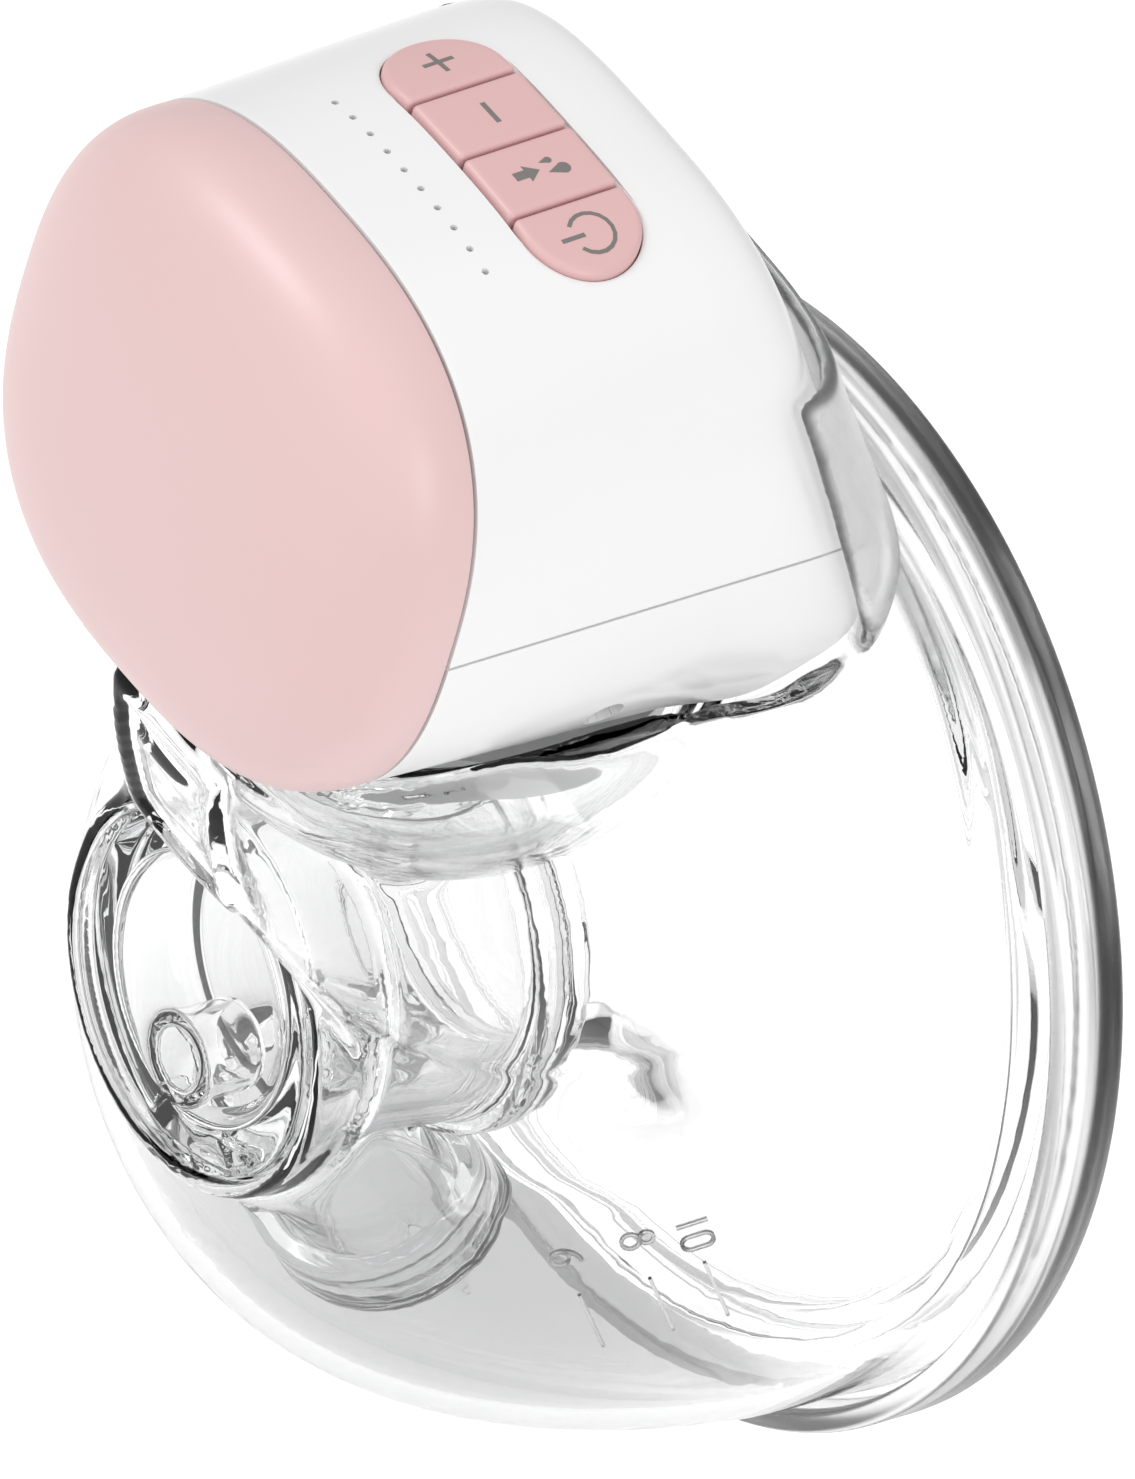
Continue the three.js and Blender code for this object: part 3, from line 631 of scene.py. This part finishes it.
def make_linker():
    f = Field((-27, -73, -39), (27, -19, 52), step=0.45)
    off = np.sqrt(f.x ** 2 + f.z ** 2)
    radius = step_between(f.y, -58.6, WINDOW_RADIUS, 15.7)
    radius = radius + step_between(f.y, -50.7, 0.0, -0.5) + step_between(f.y, -36.4, 0.0, 1.7)
    tube = soft_meet(off - radius, np.abs(f.y + 47) - 14, 0.6)
    bore = step_between(f.y, -50.5, 12.4, 13.9, 0.4)
    hollow = soft_meet(off - bore, WINDOW_Y + WINDOW_WALL - f.y, 0.8)
    spout = rod_field(f, along_valve(-21), along_valve(3.2), SPOUT_RADIUS, 0.6)
    shell = np.maximum(bowl_field(f, BOWL_RADIUS, BOWL_TOP), -bowl_field(f, BOWL_RADIUS - BOWL_WALL, 51))
    solid = soft_join(tube, spout, 1.5)
    solid = soft_join(solid, rod_field(f, (0, BOWL_Y, 12), (0, BOWL_Y, 19), 6.5), 1.5)
    solid = soft_join(solid, shell, 1.2)
    holes = [
        hollow,
        rod_field(f, along_valve(-19.5), along_valve(9), SPOUT_BORE),
        rod_field(f, (0, BOWL_Y, 5), (0, BOWL_Y, 24), 3.0),
        rod_field(f, (0, -54.8, -10), along_valve(-13), 3.4),
        motor_field(f) - 0.8,
    ]
    for hole in holes:
        solid = soft_meet(solid, -hole, 0.5)
    channel = rod_field(f, (0, WINDOW_Y + 1.2, -8), (0, -52.5, -8), 4.1)
    channel = np.maximum(channel, -rod_field(f, (0, WINDOW_Y + 1.6, -8), (0, -50, -8), 3.2))
    solid = np.minimum(solid, np.maximum(channel, off - 12.6))
    points, faces = f.mesh(solid)
    piece = make_piece("linker_body", points, faces, LINKER_CLEAR, "pump_body",
                       ["linker"])
    smooth(piece, 3)


# ---- diaphragm ----
def make_diaphragm():
    f = Field((-26, -72, 19), (26, -20, 50), step=0.35)
    radius, wall = BOWL_RADIUS - BOWL_WALL - 0.4, 1.1
    shell = np.maximum(bowl_field(f, radius, BOWL_TOP), -bowl_field(f, radius - wall, 51))
    solid = soft_meet(shell, 1.2 - motor_field(f), 0.3)
    solid = np.maximum(solid, -rod_field(f, (0, BOWL_Y, 0), (0, BOWL_Y, 32), 9.3))
    points, faces = f.mesh(solid)
    piece = make_piece("diaphragm_bowl", points, faces, BOWL_SILICONE, "pump_body",
                       ["diaphragm_wall"])
    smooth(piece, 3)
    base = BOWL_Z - radius + 1.4
    corners = [(0, base, 0), (9, base, 0.6), (9, base + 1.5, 0.5), (7.6, base + 1.8, 0.3),
               (0, base + 1.5, 0)]
    points, faces = revolved(rounded_profile(corners), "Z", 96)
    points[:, 1] += BOWL_Y
    make_piece("diaphragm_centre", points, faces, BOWL_SILICONE, "diaphragm_crown",
               ["diaphragm_crown"])


# ---- duckbill valve ----
def make_valve():
    f = Field((-12.5, -45, -46), (12.5, -19, -19), step=0.28)
    ring_start, ring_end, lips = -2.2, 5.2, 11.0
    tilt = math.radians(VALVE_TILT)
    y, z = f.y - VALVE_Y, f.z - VALVE_Z
    along = y * math.sin(tilt) - z * math.cos(tilt)
    across = y * math.cos(tilt) + z * math.sin(tilt)

    def wedge(radius, end_depth, start, end):
        t = np.clip((along - start) / (end - start), 0, 1)
        wide, flat = radius * (1 - 0.25 * t), radius * (1 - t) + end_depth * t
        ring = np.sqrt((f.x / wide) ** 2 + (across / flat) ** 2) - 1
        return np.maximum(f.distance(ring), np.abs(along - (start + end) / 2) - (end - start) / 2)

    ring = rod_field(f, along_valve(ring_start), along_valve(ring_end), VALVE_RING, 1.0)
    bead = rod_field(f, along_valve(ring_end - 1.8), along_valve(ring_end - 0.6), VALVE_RING + 0.25, 0.5)
    solid = soft_join(soft_join(ring, bead, 0.4), wedge(7.4, 0.8, ring_end - 0.5, ring_end + lips), 0.8)
    holes = [
        rod_field(f, along_valve(ring_start - 2), along_valve(ring_end - 1.5), SPOUT_RADIUS + GAP),
        wedge(6.3, 0.35, ring_end - 3, ring_end + lips - 1.2),
        wedge(6.0, 0.12, ring_end - 3, ring_end + lips + 1.5),
    ]
    for hole in holes:
        solid = soft_meet(solid, -hole, 0.3)
    points, faces = f.mesh(solid)
    piece = make_piece("duckbill", points, faces, MILKY, "pump_body", ["duckbill_valve"])
    smooth(piece, 2)


# ---- motor unit's casings ----
def parting_angle(y):
    """The angle at which the section at y crosses the parting plane, on the +X side."""
    low, high = -math.pi / 2, math.pi / 2
    if casing_point(high, y)[1] <= PARTING_Z:
        return high
    for _ in range(50):
        middle = (low + high) / 2
        if casing_point(middle, y)[1] < PARTING_Z:
            low = middle
        else:
            high = middle
    return high


def parting_end():
    """Where the sloping back meets the parting plane."""
    low, high = -30.0, -21.0
    for _ in range(50):
        middle = (low + high) / 2
        if parting_angle(middle) < math.pi / 2:
            low = middle
        else:
            high = middle
    return low


def casing_stations(end):
    """Stations from the seam to just short of the end, closer together towards the end."""
    last = end - 0.08
    front = [SEAM_Y + GAP / 2 + (last - 4.5 - SEAM_Y) * t for t in np.linspace(0, 1, 70)]
    return front[:-1] + [last - 4.5 * (1 - t) ** 2 for t in np.linspace(0, 1, 18)]


def casing_grid(stations, upper, columns, steepest):
    """Points of the casing above or below the parting plane. Behind the place where its start is at
    the steepest angle, a row keeps that angle."""
    points = []
    for y in stations:
        start = min(parting_angle(y), steepest)
        ends = (start, math.pi - start) if upper else (math.pi - start, 2 * math.pi + start)
        shares = np.linspace(0, 1, columns)
        eased = shares - 0.12 * np.sin(2 * np.pi * shares) / np.pi
        angles = ends[0] + (ends[1] - ends[0]) * eased
        x, z = casing_point(angles, y)
        points.extend(zip(x, [y] * columns, z))
    return points


def thicken(piece, wall, bevel=0.22):
    """Gives a skin its wall, and rounds the wall's edges."""
    solidify = piece.modifiers.new("wall", "SOLIDIFY")
    solidify.thickness = wall * MM
    solidify.offset = -1.0
    rounding = piece.modifiers.new("edges", "BEVEL")
    rounding.width = bevel * MM
    rounding.segments = 3
    rounding.limit_method = "ANGLE"
    rounding.angle_limit = math.radians(50)
    rounding.use_clamp_overlap = True
    apply_modifiers(piece)
    piece.data.polygons.foreach_set("use_smooth", [True] * len(piece.data.polygons))
    piece.data.set_sharp_from_angle(angle=math.radians(40))


def punch(piece, centre, way, radius):
    """Opens a round hole in a skin that has no wall yet. A disc of the skin is taken away, and the
    edge that this leaves is drawn onto the hole's circle."""
    centre, radius = Vector(centre) * MM, radius * MM
    work = bmesh.new()
    work.from_mesh(piece.data)

    def off_axis(point):
        away = point - centre
        return away - way * away.dot(way)

    def close_to(point, reach):
        return (point - centre).length < 4 * radius and off_axis(point).length < reach

    near = [face for face in work.faces if close_to(face.calc_center_median(), 1.8 * radius)]
    edges = {edge for face in near for edge in face.edges}
    bmesh.ops.subdivide_edges(work, edges=list(edges), cuts=3, use_grid_fill=True)
    gone = [face for face in work.faces if close_to(face.calc_center_median(), radius)]
    bmesh.ops.delete(work, geom=gone, context="FACES")
    for vert in work.verts:
        if vert.is_boundary and close_to(vert.co, 1.5 * radius):
            away = off_axis(vert.co)
            vert.co += away.normalized() * radius - away
    work.to_mesh(piece.data)
    work.free()


def carve(piece, cutter):
    """Cuts the cutter out of the piece and deletes it."""
    boolean = piece.modifiers.new("cut", "BOOLEAN")
    boolean.operation = "DIFFERENCE"
    boolean.solver = "EXACT"
    boolean.object = cutter
    apply_modifiers(piece)
    bpy.data.objects.remove(cutter)


def loose_mesh(name, points, faces):
    """A closed mesh used only to cut with."""
    mesh = bpy.data.meshes.new(name)
    mesh.from_pydata((np.asarray(points, float) * MM).tolist(), [], faces)
    work = bmesh.new()
    work.from_mesh(mesh)
    bmesh.ops.remove_doubles(work, verts=work.verts, dist=1e-7)
    bmesh.ops.recalc_face_normals(work, faces=work.faces)
    work.to_mesh(mesh)
    work.free()
    cutter = bpy.data.objects.new(name, mesh)
    bpy.context.scene.collection.objects.link(cutter)
    return cutter


def stacked(loops):
    """Loops of points joined into a closed skin, with a fan at each end."""
    count = len(loops[0])
    points = [tuple(p) for loop in loops for p in loop]
    faces = grid_faces(len(loops), count, True)
    for loop, start in ((loops[0], 0), (loops[-1], (len(loops) - 1) * count)):
        hub = len(points)
        points.append(tuple(np.mean(np.array(loop), axis=0)))
        for i in range(count):
            faces.append((start + i, start + (i + 1) % count, hub))
    return points, faces


def pill_outline(grow):
    """The key strip's outline seen from above, moved outwards."""
    half = KEY_PITCH * KEY_COUNT / 2 - KEY_WIDTH / 2
    radius = KEY_WIDTH / 2 + grow
    loop = []
    for side, start in ((1, -90), (-1, 90)):
        for angle in np.radians(np.linspace(start, start + 180, 40)):
            loop.append((side * half + radius * math.cos(angle), KEY_Y + radius * math.sin(angle)))
    return np.array(loop)


def flared_cutter():
    """The key strip's opening, with its edge rounded where it meets the casing's top."""
    loops = []
    for grow, drop in [(0.1, 6.0), (0.1, 0.3), (0.17, 0.12), (0.4, 0.0), (0.4, -2.0)]:
        outline = pill_outline(grow)
        tops = casing_top(outline[:, 0], outline[:, 1])
        loops.append([(x, y, top - drop) for (x, y), top in zip(outline, tops)])
    return loose_mesh("key_opening", *stacked(loops))


def round_cutter(start, end, radius):
    """A cylinder between two points, to cut with."""
    sides = 28
    start, end = Vector(start), Vector(end)
    way = (end - start).normalized()
    side = way.orthogonal().normalized()
    other = way.cross(side)
    loops = []
    for centre in (start, end):
        loop = []
        for i in range(sides):
            angle = 2 * math.pi * i / sides
            away = side * radius * math.cos(angle) + other * radius * math.sin(angle)
            loop.append(tuple(centre + away))
        loops.append(loop)
    return loose_mesh("round_cutter", *stacked(loops))


def make_upper_housing():
    end = parting_end()
    stations = casing_stations(end)
    columns, low = 150, PARTING_Z + GAP / 2
    points = casing_grid(stations, True, columns, parting_angle(stations[-1]))
    points = [(x, y, max(z, low)) for x, y, z in points]
    points[-columns:] = [(x, y, low) for x, y, z in points[-columns:]]
    piece = make_piece("upper_casing", points, grid_faces(len(stations), columns, False), WHITE,
                       "motor_unit", ["upper_housing"])
    thicken(piece, CASING_WALL)
    carve(piece, flared_cutter())
    for i in range(LIGHT_COUNT):
        x = (i - (LIGHT_COUNT - 1) / 2) * LIGHT_PITCH
        top = float(casing_top(x, LIGHT_Y))
        carve(piece, round_cutter((x, LIGHT_Y, top - 5), (x, LIGHT_Y, top + 1), LIGHT_RADIUS))
    piece.data.set_sharp_from_angle(angle=math.radians(40))


def make_lower_housing():
    end = parting_end()
    stations = casing_stations(end)
    steepest = parting_angle(stations[-1])
    closing = [end + (BACK_Y - 0.02 - end) * (1 - (1 - t) ** 2.5) for t in np.linspace(0, 1, 26)]
    columns, bridge = 190, 60
    around = casing_grid(stations + closing, False, columns, steepest)
    over = casing_grid(closing, True, bridge, steepest)
    faces = grid_faces(len(stations) + len(closing), columns, False)
    faces += [tuple(len(around) + i for i in face) for face in grid_faces(len(closing), bridge, False)]
    tip = list(range(len(around) - columns, len(around)))
    tip += list(range(len(around) + len(over) - bridge + 1, len(around) + len(over) - 1))
    faces.append(tuple(tip))
    capped = [(x, y, min(z, PARTING_Z - GAP / 2)) for x, y, z in around + over]
    piece = make_piece("lower_casing", capped, faces, WHITE, "motor_unit",
                       ["lower_housing"])
    socket_hole, socket_way = (24.6, -48.5, 49.2), Vector((0.76, 0, -0.65)).normalized()
    punch(piece, socket_hole, socket_way, 1.8)
    thicken(piece, CASING_WALL)
    # The disc under the motor unit that closes the diaphragm's bowl, and its air port.
    spigot = [(0, 37.2, 0), (21, 37.2, 0.5), (21, 40.5, 0), (0, 40.5, 0)]
    port = [(1.1, 36.4, 0.2), (2.6, 36.4, 0.3), (2.6, 46, 0.3), (1.1, 46, 0.2)]
    for name, corners in (("diaphragm_spigot", spigot), ("air_port", port)):
        points, faces = revolved(rounded_profile(corners), "Z", 96)
        points[:, 1] += BOWL_Y
        make_piece(name, points, faces, WHITE, "motor_unit", sharp=40)


def make_front_cover():
    sides, rows = 200, 64
    points = []
    around = np.linspace(0, 2 * math.pi, sides, endpoint=False)
    for angle in np.linspace(0, 0.998 * math.pi / 2, rows):
        points.extend(cover_loop(angle, around, SEAM_Y - GAP / 2))
    faces = grid_faces(rows, sides, True)
    faces.append(tuple(range((rows - 1) * sides, rows * sides)))
    piece = make_piece("pink_cover", points, faces, PINK, "motor_unit", ["front_cover"])
    thicken(piece, CASING_WALL)


# ---- keys ----
KEY_KINDS = ["plus", "minus", "mode", "power"]


def key_centre(i):
    """The key's middle, along X."""
    return (i - (KEY_COUNT - 1) / 2) * KEY_PITCH


def key_outline(i, inset):
    """One key's outline, moved inwards by the inset, as the strip cut at the key's two sides."""
    low = key_centre(i) - KEY_PITCH / 2 + GAP / 2
    high = low + KEY_PITCH - GAP
    corner = max(0.5 - inset, 0.12)
    half = KEY_PITCH * KEY_COUNT / 2 - KEY_WIDTH / 2
    radius = KEY_WIDTH / 2 - inset
    low, high = low + inset, high - inset
    loop = []
    for side in (1, -1):
        edge = high if side == 1 else low
        outer = (i == KEY_COUNT - 1) if side == 1 else (i == 0)
        angles = np.radians(np.linspace(-90, 90, 48))
        for angle in angles:
            if outer:
                x, y = side * half + side * radius * math.cos(angle), side * radius * math.sin(angle)
            else:
                x = edge - side * corner + side * corner * math.cos(angle)
                y = side * (math.copysign(radius - corner, angle) + corner * math.sin(angle))
            loop.append((x, KEY_Y + y))
    return np.array(loop)


def make_key(i):
    """A key cap with straight sides, a rounded edge and a top that follows the casing."""
    kind = KEY_KINDS[i]
    side_depth, edge = 3.4, 0.55
    rings = [(0.0, side_depth), (0.0, edge)]
    for angle in np.radians([15, 30, 45, 60, 75, 90]):
        rings.append((edge * (1 - math.cos(angle)), edge * (1 - math.sin(angle))))
    outlines = [(key_outline(i, inset), drop) for inset, drop in rings]
    inner = key_outline(i, edge)
    hub = inner.mean(axis=0)
    outlines += [(hub + (inner - hub) * share, 0.0) for share in (0.93, 0.8, 0.6, 0.4, 0.2)]
    loops = []
    for outline, drop in outlines:
        tops = casing_top(outline[:, 0], outline[:, 1]) + KEY_PROUD
        loops.append([(x, y, top - drop) for (x, y), top in zip(outline, tops)])
    points, faces = stacked(loops)
    make_piece(f"{kind}_key_cap", points, faces, KEY_PINK, f"key_{kind}",
               [f"key_{kind}"], sharp=50)


def prism_faces(start, count):
    """Faces of a prism whose points are one end's outline and then the other's."""
    faces = [tuple(range(start, start + count))]
    faces.append(tuple(range(start + 2 * count - 1, start + count - 1, -1)))
    for i in range(count):
        j = (i + 1) % count
        faces.append((start + i, start + j, start + count + j, start + count + i))
    return faces


def inlay(name, outlines, body):
    """Flat printed marks, given as outlines of (x, y), that follow the key tops."""
    points, faces = [], []
    for outline in outlines:
        faces += prism_faces(len(points), len(outline))
        tops = [float(casing_top(x, y)) + KEY_PROUD for x, y in outline]
        for drop in (-0.03, 0.2):
            points.extend((x, y, top - drop) for (x, y), top in zip(outline, tops))
    make_piece(name, points, faces, PRINT, body, sharp=40)


def bar(x, y, half_x, half_y):
    """A rectangle's outline around (x, y)."""
    return [(x - half_x, y - half_y), (x + half_x, y - half_y), (x + half_x, y + half_y),
            (x - half_x, y + half_y)]


def arc_band(x, y, radius, width, start, end, pieces=14):
    """A ring's arc as short four-sided bands, angles in degrees."""
    cuts = np.radians(np.linspace(start, end, pieces + 1))
    bands = []
    for a, b in zip(cuts[:-1], cuts[1:]):
        near, far = radius - width / 2, radius + width / 2
        bands.append([(x + near * math.cos(a), y + near * math.sin(a)),
                      (x + far * math.cos(a), y + far * math.sin(a)),
                      (x + far * math.cos(b), y + far * math.sin(b)),
                      (x + near * math.cos(b), y + near * math.sin(b))])
    return bands


def drop_mark(x, y, radius, tail):
    """A drop whose tip points towards -Y."""
    angles = np.radians(np.linspace(-40, 220, 22))
    return [(x + radius * math.cos(a), y + radius * math.sin(a)) for a in angles] + [(x, y - tail)]


def make_marks():
    x = [key_centre(i) for i in range(KEY_COUNT)]
    inlay("plus_mark", [bar(x[0], KEY_Y, 0.22, 1.5), bar(x[0] - 0.85, KEY_Y, 0.62, 0.22),
                        bar(x[0] + 0.85, KEY_Y, 0.62, 0.22)], "key_plus")
    inlay("minus_mark", [bar(x[1], KEY_Y, 1.3, 0.24)], "key_minus")
    arrow = [(x[2] - 0.45, KEY_Y - 2.7), (x[2] + 0.45, KEY_Y - 2.7), (x[2] + 0.45, KEY_Y - 1.5),
             (x[2] + 0.95, KEY_Y - 1.5), (x[2], KEY_Y - 0.2), (x[2] - 0.95, KEY_Y - 1.5),
             (x[2] - 0.45, KEY_Y - 1.5)]
    inlay("mode_mark", [arrow, drop_mark(x[2] + 0.55, KEY_Y + 1.9, 0.62, 1.5),
                        drop_mark(x[2] - 0.75, KEY_Y + 1.1, 0.35, 0.9)], "key_mode")
    power = arc_band(x[3], KEY_Y + 0.2, 2.0, 0.36, -55, 235)
    inlay("power_mark", power + [bar(x[3], KEY_Y - 1.7, 0.2, 1.15)], "key_power")


# ---- inside pieces keep their CAD shape ----
INSIDE = {
    "control_board": BOARD, "battery": FOIL, "indicator_strip": WHITE, "light_guide": GUIDE_HOLE_SHADE,
    "charging_socket": BLACK, "pump_motor": STEEL, "pump_head": BLACK, "pump_eccentric": STEEL,
    "release_valve": BLACK, "air_hose": SILICONE,
    **{f"switch_{kind}": BLACK for kind in KEY_KINDS},
    **{f"housing_screw_{i}": STEEL for i in range(1, 5)},
}


def finish_inside():
    for name, material in INSIDE.items():
        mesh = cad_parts[name].data
        mesh.materials.clear()
        mesh.materials.append(material)


# ---- measuring scale ----
def figure(digit, x, y):
    """One digit as short bands, with (x, y) at its lower middle."""
    if digit == "1":
        return [bar(x, y + 1.3, 0.16, 1.3)]
    if digit == "0":
        lower, upper = arc_band(x, y + 0.7, 0.7, 0.3, 180, 360), arc_band(x, y + 1.9, 0.7, 0.3, 0, 180)
        return lower + upper + [bar(x - 0.7, y + 1.3, 0.15, 0.6), bar(x + 0.7, y + 1.3, 0.15, 0.6)]
    if digit == "8":
        return arc_band(x, y + 0.75, 0.75, 0.3, 0, 360) + arc_band(x, y + 2.1, 0.6, 0.3, 0, 360)
    return arc_band(x, y + 0.75, 0.75, 0.3, 0, 360) + arc_band(x + 1.0, y + 0.75, 1.75, 0.3, 100, 175)


def make_scale(cup):
    """Raised figures and level lines, low on the cup's right side, laid onto the cup's surface."""
    middle = Vector((37.0, -40.0, -4.0))
    outwards = Vector((0.72, -0.69, -0.05)).normalized()
    upwards = Vector((0.36, 0.72, 0.42))
    upwards = (upwards - outwards * upwards.dot(outwards)).normalized()
    across = upwards.cross(outwards)
    marks = []
    for label, rise in (("6", -6.0), ("8", 0.0), ("10", 4.6)):
        for place, digit in enumerate(label):
            marks.extend(figure(digit, 2.0 * place, rise))
        marks.append(bar(8.0, rise + 1.2, 3.5, 0.14))
    points, faces = [], []
    for outline in marks:
        feet = []
        for u, v in outline:
            start = (middle + across * u + upwards * v + outwards * 20) * MM
            hit, foot, normal, _ = cup.ray_cast(start, -outwards)
            if hit:
                feet.append((foot / MM, normal))
        if len(feet) < len(outline):
            continue
        faces += prism_faces(len(points), len(feet))
        for lift in (0.22, -0.2):
            points.extend(tuple(foot + normal * lift) for foot, normal in feet)
    make_piece("measuring_scale", points, faces, FROSTED, "pump_body", sharp=40)


# ---- floor and lights ----
def make_stage():
    """A pale floor with a painted pool of light, brightest behind the pump as the camera sees it and
    darker further away.
    """
    mesh = bpy.data.meshes.new("floor")
    half, low = FLOOR_HALF, CAD_BOX[0].z - FLOOR_DROP
    corners = [(-half, -half, low), (half, -half, low), (half, half, low), (-half, half, low)]
    mesh.from_pydata(corners, [], [(0, 1, 2, 3)])
    material, tree, shader = new_material("floor_painted_light")
    place = tree.nodes.new("ShaderNodeTexCoord")
    away = tree.nodes.new("ShaderNodeVectorMath")
    away.operation = "DISTANCE"
    away.inputs[1].default_value = (-0.16, 0.14, low)
    painted_light_pool = tree.nodes.new("ShaderNodeMapRange")
    painted_light_pool.interpolation_type = "SMOOTHSTEP"
    painted_light_pool.inputs["From Min"].default_value = 0.2
    painted_light_pool.inputs["From Max"].default_value = 0.8
    painted_light_pool.inputs["To Min"].default_value = 0.95
    painted_light_pool.inputs["To Max"].default_value = 0.62
    tree.links.new(place.outputs["Object"], away.inputs[0])
    tree.links.new(away.outputs["Value"], painted_light_pool.inputs["Value"])
    tree.links.new(painted_light_pool.outputs["Result"], shader.inputs["Base Color"])
    # The floor also glows faintly with the painted light's colour, though it is no lamp.
    tree.links.new(painted_light_pool.outputs["Result"], shader.inputs["Emission Color"])
    shader.inputs["Emission Strength"].default_value = 0.25
    shader.inputs["Roughness"].default_value = 0.9
    mesh.materials.append(material)
    floor = bpy.data.objects.new("floor", mesh)
    bpy.context.scene.collection.objects.link(floor)


def soft_light(name, place, size, power):
    """A rectangular light that points at the pump."""
    target = Vector((0, -0.03, 0.02))
    data = bpy.data.lights.new(name, "AREA")
    data.shape = "RECTANGLE"
    data.size, data.size_y = size
    data.energy = power
    light = bpy.data.objects.new(name, data)
    bpy.context.scene.collection.objects.link(light)
    light.location = place
    light.rotation_mode = "QUATERNION"
    light.rotation_quaternion = (target - Vector(place)).to_track_quat("-Z", "Y")


def make_lights():
    """A white studio, brighter at the front right and above than at the back left."""
    world = bpy.data.worlds.new("studio")
    bpy.context.scene.world = world
    world.use_nodes = True
    tree = world.node_tree
    brightest = Vector((0.62, -0.45, 0.4)).normalized()
    place = tree.nodes.new("ShaderNodeTexCoord")
    turn = tree.nodes.new("ShaderNodeVectorMath")
    turn.operation = "DOT_PRODUCT"
    turn.inputs[1].default_value = brightest
    ramp = tree.nodes.new("ShaderNodeMapRange")
    ramp.inputs["From Min"].default_value = -0.9
    ramp.inputs["From Max"].default_value = 0.9
    ramp.inputs["To Min"].default_value = 0.55
    ramp.inputs["To Max"].default_value = 0.98
    tree.links.new(place.outputs["Generated"], turn.inputs[0])
    tree.links.new(turn.outputs["Value"], ramp.inputs["Value"])
    tree.links.new(ramp.outputs["Result"], tree.nodes["Background"].inputs["Color"])
    soft_light("right_light", (1.1, -0.2, 0.5), (0.4, 0.6), 3.0)
    soft_light("left_light", (-0.7, -0.9, 0.9), (0.4, 0.4), 5.5)
    bpy.context.scene.view_settings.view_transform = "Standard"
    bpy.context.scene.cycles.max_bounces = BOUNCES
    bpy.context.scene.cycles.transmission_bounces = BOUNCES


make_flange()
milk_cup = make_milk_cup()
make_linker()
make_diaphragm()
make_valve()
make_upper_housing()
make_lower_housing()
make_front_cover()
for index in range(KEY_COUNT):
    make_key(index)
make_marks()
make_scale(milk_cup)
finish_inside()
make_stage()
make_lights()
